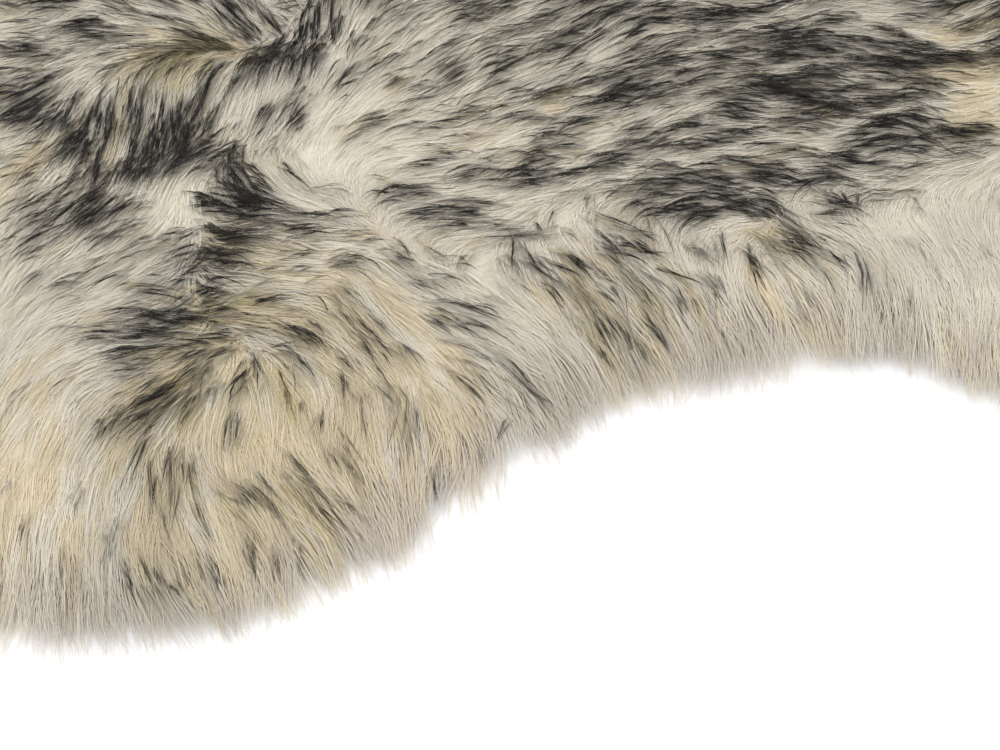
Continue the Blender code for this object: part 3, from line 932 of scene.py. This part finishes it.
# Spacing, strands and width are for the photo's part and for the rest, and loft is from low to high.
# A lock starts at root below the wool's top, its tip lies at loft over it, and follows is how soon it
# turns with the run. Tall is the height of its section to its width, and ragged how uneven its ends are.
woolLayers = {
    "under": {
        "spacing": (0.006, 0.01), "length": 0.04, "varies": 0.2, "root": 0.006,
        "loft": (-0.0024, -0.0008), "spread": 0.0058, "waist": 1.0, "tipSpread": 0.95, "strands": (11, 7),
        "width": (0.0004, 0.0011), "points": 3, "stray": 5.0, "curl": 10.0, "bend": 16.0, "rimCurl": 0.3,
        "tall": 0.1, "turn": 0.1, "ragged": 0.3, "follows": 0.45,
    },
    "fleece": {
        "spacing": (0.0066, 0.0112), "length": 0.036, "varies": 0.25, "root": 0.006,
        "loft": (-0.0008, 0.0006), "spread": 0.005, "waist": 1.0, "tipSpread": 0.75, "strands": (13, 7),
        "width": (0.0003, 0.0008), "points": 5, "stray": 5.0, "curl": 14.0, "bend": 24.0, "rimCurl": 0.6,
        "tall": 0.1, "turn": 0.12, "ragged": 0.4, "follows": 0.45,
    },
    "tips": {
        "spacing": (0.0024, 0.0044), "length": 0.024, "varies": 0.4, "root": 0.002,
        "loft": (0.0014, 0.0036), "spread": 0.0011, "waist": 0.6, "tipSpread": 0.25, "strands": (10, 7),
        "width": (0.00032, 0.0008), "points": 5, "stray": 3.0, "curl": 8.0, "bend": 14.0, "rimCurl": 1.0,
        "tall": 0.6, "turn": 0.3, "ragged": 0.6, "follows": 0.08,
    },
    "wisps": {
        # gap: pixels from lock to lock. times, back: a lock's length and how much of it lies behind its row
        "gap": 3.5, "longest": 0.036, "times": (1.0, 1.5), "back": (0.6, 0.2), "short": 0.016,
        "root": 0.002, "loft": (0.0018, 0.0042), "spread": 0.001, "waist": 0.6, "tipSpread": 0.45,
        "strands": (6, 6), "grows": (4, 7), "width": (0.00026, 0.0008), "points": 6, "stray": 2.0,
        "curl": 8.0, "bend": 12.0, "rimCurl": 0.5, "tall": 0.6, "turn": 0.3, "ragged": 0.7,
        "follows": 0.05,
    },
    "rim": {
        # round: metres of locks all round. inside: of the rim. deep, loft: parts of the wool's full height
        "rows": 2, "round": 2.5, "spacing": 0.0044, "inside": (0.002, 0.012), "deep": (0.15, 0.85),
        "loft": (0.05, 0.5), "length": 0.047, "varies": 0.2, "spread": 0.0056, "waist": 1.0,
        "tipSpread": 1.25, "strands": (20, 9), "width": (0.0004, 0.0008), "points": 4, "stray": 6.0,
        "curl": 10.0, "bend": 10.0, "rimCurl": 0.4, "tall": 0.5, "turn": 0.2, "ragged": 0.5,
        "follows": 0.45,
    },
}

# How dark a lock is, from 0 to 1, and which of the hues it has.
lockDye = {
    "tips": (0.58, 0.22, 0.20, 0.08),   # at least, more in a streak, more in a patch, and how it varies
    "wisps": (0.47, 0.42, -0.14, 0.08),  # at least, more where the row says, and the ends of what varies
    "darkest": 0.99,
    "greyShare": 0.50,    # part of the fleece's locks that is grey in the darkest places
    "grey": (0.25, 0.50, 0.25),         # their tone, and more in a patch
    "darkestWisp": 0.97,
    "plainVaries": 0.08,
    "creamGrain": 0.30,   # how much the cream's grain changes its depth
    "hueGrain": 0.45,     # and its hue
    "hueVaries": 0.12,
    "hueFrom": (0.32, 0.80),            # yellowness from which a lock is cream, and straw
    "shadedRimFrom": (0.000, 0.024),        # metres out of the rim, over which more and more locks take the painted shade of the rim
    "streakLeast": 0.25,
    "fuller": (0.42, 0.58, 0.6, 0.7),   # part of its strands that a tip keeps, at least and more
    "ownChance": 0.25,    # part of the choice of dark tips that is each lock's own
}

# How much further the fringe reaches there, in metres, by places along its edge in the photo.
fringeReach = (
    (160, 638, -0.006), (205, 630, -0.0045), (240, 626, -0.008), (280, 614, -0.002), (330, 592, 0.0008),
    (380, 566, -0.001), (430, 530, 0.0005), (480, 490, 0.002), (530, 455, 0.009), (580, 425, -0.011),
    (630, 405, 0.001), (690, 390, 0.001), (760, 377, 0.006), (830, 364, -0.004), (870, 356, -0.019),
    (940, 350, -0.009), (60, 650, 0.0),
)
fringeNear, fringeFar = 0.012, 0.05


def fringeField():
    total, weight = np.zeros(gridX.shape), np.full(gridX.shape, 1 / fringeFar ** 4)
    for px, py, more in fringeReach:
        pull = pullOf(atHeight(px, py, 0.0), fringeNear, 2)
        total += pull * more
        weight += pull
    return total / weight


fringe = fringeField()
nearPart = {"left": -20, "right": 1020, "top": -60, "bottom": 760, "soft": 160.0}  # pixels


# 0 in the picture, 1 well out of it
def closeness(x, y):
    px, py = toPhoto(x, y)
    aside = np.maximum(nearPart["left"] - px, px - nearPart["right"])
    off = np.maximum(aside, np.maximum(nearPart["top"] - py, py - nearPart["bottom"]))
    return smoothStep(0.0, nearPart["soft"], off)


# points scattered evenly, closer together where the camera is near
def scatterRoots(spacing, seed):
    near, far = spacing
    chance = np.random.default_rng(seed)
    tries = int(longWool["tries"] * 4 * field["halfX"] * field["halfY"] / near ** 2)
    x, y = (chance.uniform(-half, half, tries) for half in halves)
    keep = readField(outside, x, y) < longWool["rootsOut"]
    x, y = x[keep], y[keep]
    apart = near + (far - near) * closeness(x, y)
    cells, found = {}, []
    for i, (px, py, gap) in enumerate(zip(x.tolist(), y.tolist(), apart.tolist())):
        column, row = int(px // far), int(py // far)
        around = [(a, b) for a in (column - 1, column, column + 1) for b in (row - 1, row, row + 1)]
        others = (other for cell in around for other in cells.get(cell, ()))
        if all((ox - px) ** 2 + (oy - py) ** 2 >= gap * gap for ox, oy in others):
            cells.setdefault((column, row), []).append((px, py))
            found.append(i)
    return x[found], y[found]


# follows the run of the wool from each root, over the hide and down over its rim
def growLocks(name, x, y, length, deepest, loft, reach, stray, curl, runs=None):
    steps, kept, follows = longWool["steps"], longWool["kept"], woolLayers[name]["follows"]
    tips = name in ("tips", "wisps")
    fieldX, fieldY = (tipX, tipY) if tips else (calmX, calmY)
    runs = runs or (readField(fieldX, x, y), readField(fieldY, x, y))
    alongX, alongY = turned(*runs, np.radians(stray))
    walkX, walkY = [x], [y]
    for step in range(steps):
        part = (step + 0.5) / steps
        turn = np.radians(stray + curl * (part - longWool["curlsFrom"]))
        twist = np.radians(curl / steps) * tips
        bentX, bentY = turned(*unit(readField(fieldX, x, y), readField(fieldY, x, y)), turn)
        alongX, alongY = alongX + (bentX - alongX) * follows, alongY + (bentY - alongY) * follows
        size = np.hypot(alongX, alongY) + 1e-9
        alongX, alongY = (value / size for value in turned(alongX, alongY, twist))
        x, y = x + alongX * length / steps, y + alongY * length / steps
        walkX.append(x)
        walkY.append(y)
    walkX, walkY = np.array(walkX), np.array(walkY)
    over = readField(outside, walkX, walkY) > reach
    cut = np.where(over.any(axis=0), over.argmax(axis=0), steps).astype(float)
    t = np.linspace(0, 1, kept)[:, None]
    place = t * np.maximum(cut, longWool["fewest"])
    low = np.clip(place.astype(int), 0, steps - 1)
    part = place - low
    column = np.arange(walkX.shape[1])[None, :]
    pathX, pathY = (walk[low, column] * (1 - part) + walk[low + 1, column] * part for walk in (walkX, walkY))
    rise = 1 - (1 - t) ** longWool["rise"]
    drop, late = longWool["droop"]
    droop = drop * np.clip((t - late) / (1 - late), 0, 1) ** 2
    depth = deepest * (1 - rise) - loft * rise + droop
    top = readField(woolTop, pathX, pathY)
    high = np.maximum(top * (1 - depth / longWool["trunk"]), longWool["floor"])
    return np.stack([pathX, pathY, high], axis=-1)


# roots for locks whose middles are to lie evenly over the rug
def walkedBack(name, x, y, far):
    if name == "tips":
        length, *layers = longWool["partingWaves"]
        mixes = longWool["partingMixes"]
        seen = [axis + mixes * wander(x, y, length, layer) for axis, layer in zip((x, y), layers)]
        runs = readField(tipX, *seen), readField(tipY, *seen)
        far = far * (1 - longWool["partingNear"] * readField(parting, x, y))
        return x - runs[0] * far, y - runs[1] * far, runs
    for _ in range(8):
        stepX, stepY = unit(readField(calmX, x, y), readField(calmY, x, y))
        x, y = x - stepX * far / 8, y - stepY * far / 8
    return x, y, None


# which way a field of heights faces, before its length is made 1
def facing(slopes, x, y):
    return np.stack([-readField(slopes[0], x, y), -readField(slopes[1], x, y), np.ones_like(x)], axis=-1)


def lockFrames(paths):
    along = np.gradient(paths, axis=0)
    along /= np.linalg.norm(along, axis=2)[..., None] + 1e-12
    side = np.cross(along, facing(slopeOf(woolTop), paths[..., 0], paths[..., 1]))
    side /= np.linalg.norm(side, axis=2)[..., None] + 1e-12
    return side, np.cross(side, along)


def layerOfLocks(name, x, y, seed, deep=None, loft=None, given=None):
    layer = woolLayers[name]
    chance = np.random.default_rng(seed)
    count = len(x)
    away, part, beside = closeness(x, y), readField(parting, x, y), readField(outside, x, y)
    own, runs = chance.uniform(-1, 1, count), None
    if given:
        length, runs = given["length"], given["runs"]
    else:
        length = layer["length"] * (1 + layer["varies"] * own) * (1 - longWool["partingShort"] * part)
    if name == "rim":
        length = length * (1 + longWool["fringeGrows"] * np.maximum(readField(fringe, x, y), 0))
    if name == "tips":
        least, full = longWool["shortTips"]
        length = length * (least + (1 - least) * np.clip(readField(darkness, x, y) / full, 0, 1))
    if name in ("under", "fleece", "tips"):
        x, y, runs = walkedBack(name, x, y, chance.uniform(*longWool["rootsBack"], count) * length)
    deep = np.full(count, layer["root"]) if deep is None else deep
    loft = chance.uniform(*layer["loft"], count) if loft is None else loft
    varies, shared, single = longWool["reachVaries"]
    clump = wander(x, y, longWool["clumps"], seed + 3)
    reach = longWool["reach"] + varies * (shared * clump + single * chance.uniform(-1, 1, count))
    reach = reach + readField(fringe, x, y) - layer.get("short", 0.0)
    looser = 1 + (longWool["rimStray"] - 1) * smoothStep(*longWool["rimStrayFrom"], beside)
    waved = layer["stray"] * wander(x, y, longWool["strayLength"], seed + 4)
    stray = (chance.normal(0, layer["stray"], count) + waved) * looser
    stray = stray + longWool["partingStray"] * part * chance.normal(0, 1, count)
    waved = layer["bend"] * wander(x, y, longWool["bendLength"], seed + 5)
    curl = chance.normal(0, layer["curl"], count) + waved
    curl = curl * (1 + layer["rimCurl"] * smoothStep(*longWool["rimCurlFrom"], beside))
    paths = growLocks(name, x, y, length, deep, loft, reach, stray, curl, runs)
    t = np.linspace(0, 1, longWool["kept"])[:, None]
    early, narrow = longWool["waist"]
    waist = layer["waist"] + (1 - layer["waist"]) * np.sin(np.pi * np.clip(early * t, 0, 1) * narrow)
    tapered = 1 - (1 - layer["tipSpread"]) * t ** longWool["taper"]
    wider = 1 + longWool["awayWider"] * away
    found = {"path": paths, "spread": layer["spread"] * wider * waist * tapered}
    for key in ("strands", "width"):
        near, far = layer[key]
        found[key] = near + (far - near) * away
    for key in ("points", "tall", "turn", "ragged"):
        found[key] = np.full(count, layer[key], float)
    middle = paths[int(longWool["colourAt"] * len(paths)), :, :2].T
    darks = darkness if name == "tips" else greyness
    fields = (darks, warmth, outside, shade, darkStreaks, creamStreaks)
    share, warm, beyond, pale, streak, grain = (readField(values, *middle) for values in fields)
    grain = grain - 0.5
    core = np.clip((share - streak) / np.maximum(share, lockDye["streakLeast"]), 0, 1)
    found["tone"] = lockTones(name, share, core, pale + lockDye["creamGrain"] * grain, chance)
    picked = warm + lockDye["hueGrain"] * grain + lockDye["hueVaries"] * chance.uniform(-1, 1, count)
    # locks past the rim take the darker, pinker cream that paints the shade of the rolled-down edge
    shadedRim = smoothStep(*lockDye["shadedRimFrom"], beyond) > chance.uniform(0, 1, count)
    found["hue"] = np.where(shadedRim, hues.index("shadedRim"), np.searchsorted(lockDye["hueFrom"], picked))
    if given:
        found["tone"], found["strands"] = given["tone"], given["strands"]
    if name != "tips":
        return found
    least, more, patchPower, streakPower = lockDye["fuller"]
    fuller = least + more * share ** patchPower * core ** streakPower
    found["strands"] = found["strands"] * fuller
    found["spread"] = found["spread"] * (0.5 + 0.5 * fuller)
    mixed = (1 - lockDye["ownChance"]) * streak + lockDye["ownChance"] * chance.uniform(0, 1, count)
    wanted = share * (darkTips["fewer"] + (1 - darkTips["fewer"]) * share)
    keep = np.interp(mixed, np.sort(mixed), np.linspace(0, 1, count)) < wanted
    cut = {"path": (slice(None), keep), "spread": (slice(None), keep)}
    return {key: values[cut.get(key, keep)] for key, values in found.items()}


def lockTones(name, share, core, pale, chance):
    count = len(share)
    if name == "tips":
        least, inStreak, inPatch, varies = lockDye["tips"]
        tone = least + inStreak * np.sqrt(core) + inPatch * share ** 1.5
        return np.clip(tone + varies * chance.uniform(-1, 1, count), 0, lockDye["darkest"])
    grey = chance.uniform(0, 1, count) < lockDye["greyShare"] * core ** 0.5 * share ** 1.5
    plain = np.clip(pale + lockDye["plainVaries"] * chance.uniform(-1, 1, count), 0, 1)
    low, high, inPatch = lockDye["grey"]
    tone = chance.uniform(low, high, count) + inPatch * share ** 3
    return np.where(grey, tone, woolDye["paleTones"] * plain)


# the single wisps, each a few thin locks side by side
def laidWisps(seed):
    chance = np.random.default_rng(seed)
    layer = woolLayers["wisps"]
    least, more, low, high = lockDye["wisps"]
    made = []
    for px, py, long, wide, amount in rowsOf(sidePlaces):
        at = fromPhoto(px, py)
        run = np.array([readAt(tipX, at), readAt(tipY, at)])
        run /= np.linalg.norm(run)
        for _ in range(max(2, round(wide / layer["gap"]))):
            full = long * photoView["pixel"] * chance.uniform(*layer["times"])
            beside = chance.uniform(-0.5, 0.5) * wide * photoView["pixel"]
            back = (layer["back"][0] + chance.uniform(-layer["back"][1], layer["back"][1])) * full
            x, y = at[0] - run[0] * back - run[1] * beside, at[1] - run[1] * back + run[0] * beside
            tone = min(least + more * amount + chance.uniform(low, high), lockDye["darkestWisp"])
            strands = layer["grows"][0] + layer["grows"][1] * amount * chance.uniform(0.5, 1)
            made.append((x, y, *run, min(full, layer["longest"]), tone, strands))
    x, y, *runs, length, tone, strands = np.array(made).T
    given = {"length": length, "tone": tone, "strands": strands, "runs": runs}
    return layerOfLocks("wisps", x, y, seed + 1, given=given)


def rimLocks(seed):
    chance = np.random.default_rng(seed)
    layer, trunk = woolLayers["rim"], longWool["trunk"]
    count = int(layer["round"] / layer["spacing"])
    sets = []
    for row in range(layer["rows"]):
        ring = evenRound(rim, count)
        x, y = (ring - outOf(ring) * chance.uniform(*layer["inside"], count)[:, None]).T
        deep = chance.uniform(*layer["deep"], count) * trunk
        loft = -chance.uniform(*layer["loft"], count) * trunk
        sets.append(layerOfLocks("rim", x, y, seed + row + 1, deep, loft))
    return sets


def joined(sets):
    return {key: np.concatenate([each[key] for each in sets], axis=1 if key in ("path", "spread") else 0)
            for key in sets[0]}


seed = longWool["seed"]
sets = []
for number, name in enumerate(("under", "fleece", "tips")):
    x, y = scatterRoots(woolLayers[name]["spacing"], seed + number)
    sets.append(layerOfLocks(name, x, y, seed + 10 * number))
    print(name, "locks", sets[-1]["path"].shape[1], "strands", int(np.round(sets[-1]["strands"]).sum()))
sets.append(laidWisps(seed + 40))
print("wisps", sets[-1]["path"].shape[1])
locks = joined(sets + rimLocks(seed + 50))
print("locks laid:", locks["path"].shape[1], "strands:", int(np.round(locks["strands"]).sum()))

strandInputs = {
    "Width": 1.0, "Tip width": 0.16, "Frizz": 0.0010, "Frizz length": 0.014, "Tone varies": 0.013,
    "Floor": 0.0004, "Seed": 1,
}
strandShape = {
    "apart": 0.731,       # how far apart two strands of a lock lie in the noise that frizzes them
    "loosePower": 8.0,    # few strands are loose
    "loosest": 3.0,
    "frizzPower": 1.2,    # more frizz towards the tip
    "taperPower": 1.7,
}


def growWoolTree(material):
    tree = bpy.data.node_groups.new("growWool", "GeometryNodeTree")
    tree.interface.new_socket("Geometry", in_out="INPUT", socket_type="NodeSocketGeometry")
    tree.interface.new_socket("Geometry", in_out="OUTPUT", socket_type="NodeSocketGeometry")
    for name, value in strandInputs.items():
        kind = "NodeSocketInt" if name == "Seed" else "NodeSocketFloat"
        tree.interface.new_socket(name, in_out="INPUT", socket_type=kind).default_value = value
    start = tree.nodes.new("NodeGroupInput").outputs

    def add(kind, settings=None, **inputs):
        return addNode(tree, kind, settings, **inputs).outputs[0]

    def do(operation, *terms):
        return sums(tree, operation, *terms)

    def times(first, *others):
        for other in others:
            first = do("MULTIPLY", first, other)
        return first

    def named(name, kind="FLOAT"):
        return add("GeometryNodeInputNamedAttribute", {"data_type": kind}, Name=name)

    def vector(operation, first, second):
        return add("ShaderNodeVectorMath", {"operation": operation}, at0=first, at1=second)

    # the lock's own sides, each by its factor
    def across(sideways, upwards):
        side, up = (scaled(tree, named(name, "FLOAT_VECTOR"), factor)
                    for name, factor in (("side", sideways), ("up", upwards)))
        return side, up

    def capture(geometry, **values):
        node = tree.nodes.new("GeometryNodeCaptureAttribute")
        for name in values:
            node.capture_items.new("FLOAT", name)
        places = {"at" + str(place): value for place, value in enumerate((geometry, *values.values()))}
        return fill(tree, node, **places).outputs

    settings = {"domain": "CURVE", "data_type": "INT"}
    strand = add("GeometryNodeFieldOnDomain", settings, Value=add("GeometryNodeInputIndex"))

    def chance(low, high, salt):
        node = addNode(tree, "FunctionNodeRandomValue", {"data_type": "FLOAT"}, ID=strand, at2=low, at3=high)
        return fill(tree, node, Seed=do("ADD", start["Seed"], float(salt))).outputs[1]

    curves = add("GeometryNodeMeshToCurve", Mesh=start["Geometry"])
    copies = add("GeometryNodeDuplicateElements", {"domain": "SPLINE"}, Geometry=curves,
                 Amount=do("ROUND", named("strands")))
    shorter = times(chance(0.0, 1.0, 1), named("ragged"))
    trim = add("GeometryNodeTrimCurve", Curve=copies, at3=do("SUBTRACT", 1.0, shorter))
    even = add("GeometryNodeResampleCurve", Curve=trim, Count=do("ROUND", named("points")))
    factor = add("GeometryNodeSplineParameter")

    angle = chance(0.0, 2 * math.pi, 2)
    radius = times(do("SQRT", chance(0.0, 1.0, 3)), named("spread"))
    shift = vector("ADD", *across(times(do("COSINE", angle), radius),
                                  times(do("SINE", angle), times(radius, named("tall")))))
    place = add("GeometryNodeInputPosition")
    own, fine = times(strand, strandShape["apart"]), do("DIVIDE", 1.0, start["Frizz length"])
    settings = {"noise_dimensions": "4D"}
    noise = addNode(tree, "ShaderNodeTexNoise", settings, Vector=place, W=own, Scale=fine, Detail=1.0)
    half = add("FunctionNodeInputVector", {"vector": (0.5, 0.5, 0.5)})
    few = do("POWER", chance(0.0, 1.0, 4), strandShape["loosePower"])
    loose = do("MULTIPLY_ADD", few, strandShape["loosest"], 1.0)
    wild = times(start["Frizz"], loose, do("POWER", factor, strandShape["frizzPower"]), 2.0)
    frizz = scaled(tree, vector("SUBTRACT", noise.outputs["Color"], half), wild)
    moved = vector("ADD", vector("ADD", place, shift), frizz)
    split = addNode(tree, "ShaderNodeSeparateXYZ", Vector=moved).outputs
    high = do("MAXIMUM", split["Z"], start["Floor"])
    onFloor = add("ShaderNodeCombineXYZ", X=split["X"], Y=split["Y"], Z=high)
    put = add("GeometryNodeSetPosition", Geometry=even, Position=onFloor)
    turn = times(chance(-1.0, 1.0, 5), named("turn"))
    side, up = across(do("SINE", turn), do("COSINE", turn))
    laid = add("GeometryNodeSetCurveNormal", {"mode": "FREE"}, Curve=put, Normal=vector("ADD", up, side))

    classes = float(woolDye["classes"])
    tone = do("ADD", named("tone"), times(chance(-1.0, 1.0, 6), start["Tone varies"]))
    cell = do("FLOOR", times(do("MINIMUM", do("MAXIMUM", tone, 0.0), 0.999), classes))
    taper = times(do("SUBTRACT", 1.0, start["Tip width"]), do("POWER", factor, strandShape["taperPower"]))
    wide = times(do("SUBTRACT", 1.0, taper), times(start["Width"], named("width")))
    curve, along, cell = capture(laid, along=factor, cell=cell)[:3]
    line = add("GeometryNodeCurvePrimitiveLine", Start=(0.0, -0.5, 0.0), End=(0.0, 0.5, 0.0))
    profile, aside = capture(line, across=factor)[:2]
    ribbons = add("GeometryNodeCurveToMesh", Curve=curve, Scale=wide, Profile_Curve=profile)

    inCell, upCell = (do("MULTIPLY_ADD", part, 1 - 2 * cellEdge, cellEdge) for part in (aside, along))
    u = do("DIVIDE", do("ADD", cell, inCell), classes)
    v = do("DIVIDE", do("ADD", named("hue"), upCell), float(len(hues)))
    spot = add("ShaderNodeCombineXYZ", X=u, Y=v)
    settings = {"data_type": "FLOAT2", "domain": "CORNER"}
    mapped = add("GeometryNodeStoreNamedAttribute", settings, Geometry=ribbons, Name="OFBake", Value=spot)
    smooth = add("GeometryNodeSetShadeSmooth", Geometry=mapped)
    real = add("GeometryNodeRealizeInstances", Geometry=smooth)
    dressed = add("GeometryNodeSetMaterial", Geometry=real, Material=material)
    addNode(tree, "NodeGroupOutput", at0=dressed)
    return tree


lockValues = ("strands", "width", "points", "tall", "turn", "ragged", "tone", "hue")


def guideMesh(name, chosen):
    paths = locks["path"][:, chosen].transpose(1, 0, 2)
    count, kept = paths.shape[:2]
    mesh = bpy.data.meshes.new(name)
    mesh.vertices.add(count * kept)
    mesh.vertices.foreach_set("co", paths.astype(np.float32).ravel())
    first = (np.arange(count)[:, None] * kept + np.arange(kept - 1)).ravel()
    mesh.edges.add(len(first))
    mesh.edges.foreach_set("vertices", np.column_stack([first, first + 1]).ravel().astype(np.int32))
    for key, values in zip(("side", "up"), lockSides):
        addValues(mesh, key, values[:, chosen].transpose(1, 0, 2), "FLOAT_VECTOR")
    addValues(mesh, "spread", locks["spread"][:, chosen].T)
    for key in lockValues:
        addValues(mesh, key, np.repeat(locks[key][chosen], kept))
    mesh.update()
    return mesh


def setInput(modifier, name, value):
    for item in modifier.node_group.interface.items_tree:
        if item.item_type == "SOCKET" and item.in_out == "INPUT" and item.name == name:
            modifier[item.identifier] = value


# Strands take their normals mostly from the wool's whole surface, so that they shade as one soft fleece.
def softenNormals(mesh, ownPart):
    places, own = (np.empty(len(mesh.vertices) * 3, np.float32) for _ in range(2))
    mesh.vertices.foreach_get("co", places)
    mesh.vertex_normals.foreach_get("vector", own)
    places, own = places.reshape(-1, 3), own.reshape(-1, 3)
    own = own * np.where(own[:, 2:] < 0, -1, 1)
    whole = facing(topSlopes, places[:, 0], places[:, 1])
    whole /= np.linalg.norm(whole, axis=1)[:, None]
    mesh.normals_split_custom_set_from_vertices(whole * (1 - ownPart) + own * ownPart)


def growPiece(name, chosen, tree, number):
    guide = placeObject(name + "Guide", guideMesh(name + "Guide", chosen))
    modifier = guide.modifiers.new("growWool", "NODES")
    modifier.node_group = tree
    setInput(modifier, "Seed", number * 100)
    mesh = plainMesh(guide)
    for key in ("side", "up", "spread", "along", "cell", "across") + lockValues:
        extra = mesh.attributes.get(key)
        if extra:
            mesh.attributes.remove(extra)
    mesh.name = name
    softenNormals(mesh, longWool["ownNormal"])
    return placeObject(name, mesh)


topSlopes = slopeOf(blur(woolTop, 2))
lockSides = lockFrames(locks["path"])
woolPieces = []
pieceNames = ("tailWool", "rumpWool", "haunchWool", "loinWool", "ribWool", "shoulderWool", "neckWool")
strandCount = np.round(locks["strands"]) * (locks["points"] - 1)
order = np.argsort(locks["path"][0, :, 0], kind="stable")
share = np.cumsum(strandCount[order]) / strandCount.sum()
strandTree = growWoolTree(strandMaterial())
for number, name in enumerate(pieceNames):
    low, high = number / len(pieceNames), (number + 1) / len(pieceNames) + 1e-9
    chosen = order[(share > low) & (share <= high)]
    woolPieces.append(growPiece(name, chosen, strandTree, number + 1))
    print("grown", name, len(woolPieces[-1].data.polygons) * 2, "triangles")

studio = {
    "floor": (0.90, 0.90, 0.90, 1.0),
    "floorHalf": 6.0,
    "sky": 1.01,
    "key": 20.0,
    "keySize": 1.6,
    "keyPlace": (-0.55, 0.75, 1.9),
}


def makeStudio():
    half = studio["floorHalf"]
    corners = [(x * half, y * half, 0) for x, y in ((-1, -1), (1, -1), (1, 1), (-1, 1))]
    mesh = bpy.data.meshes.new("floor")
    mesh.from_pydata(corners, [], [(0, 1, 2, 3)])
    floor = placeObject("floor", mesh)
    material, tree, shader = newMaterial("paleFloor")
    fill(tree, shader, Base_Color=studio["floor"], Roughness=0.9, Specular_IOR_Level=0.1)
    mesh.materials.append(material)
    world = bpy.data.worlds.new("studio")
    world.use_nodes = True
    sky = world.node_tree.nodes["Background"]
    fill(world.node_tree, sky, Color=(1.0, 1.0, 1.0, 1.0), Strength=studio["sky"])
    bpy.context.scene.world = world
    data = bpy.data.lights.new("keyLight", "AREA")
    data.energy, data.size = studio["key"], studio["keySize"]
    lookAlong(placeObject("keyLight", data), studio["keyPlace"], -np.array(studio["keyPlace"]))
    bpy.context.scene.view_settings.view_transform = "Standard"


makeStudio()

for piece in [bedPiece, skinPiece] + woolPieces:
    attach(piece, "root")
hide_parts(rugNode)


# the skin's flat area and size, from the hide's outline
def flatSkin(inset):
    ring = rim - outOf(rim) * inset
    return ringArea(ring), ring.max(axis=0) - ring.min(axis=0)


skinArea, skinSize = flatSkin(skinSide["inset"])
print("skin:", skinSize, skinArea)
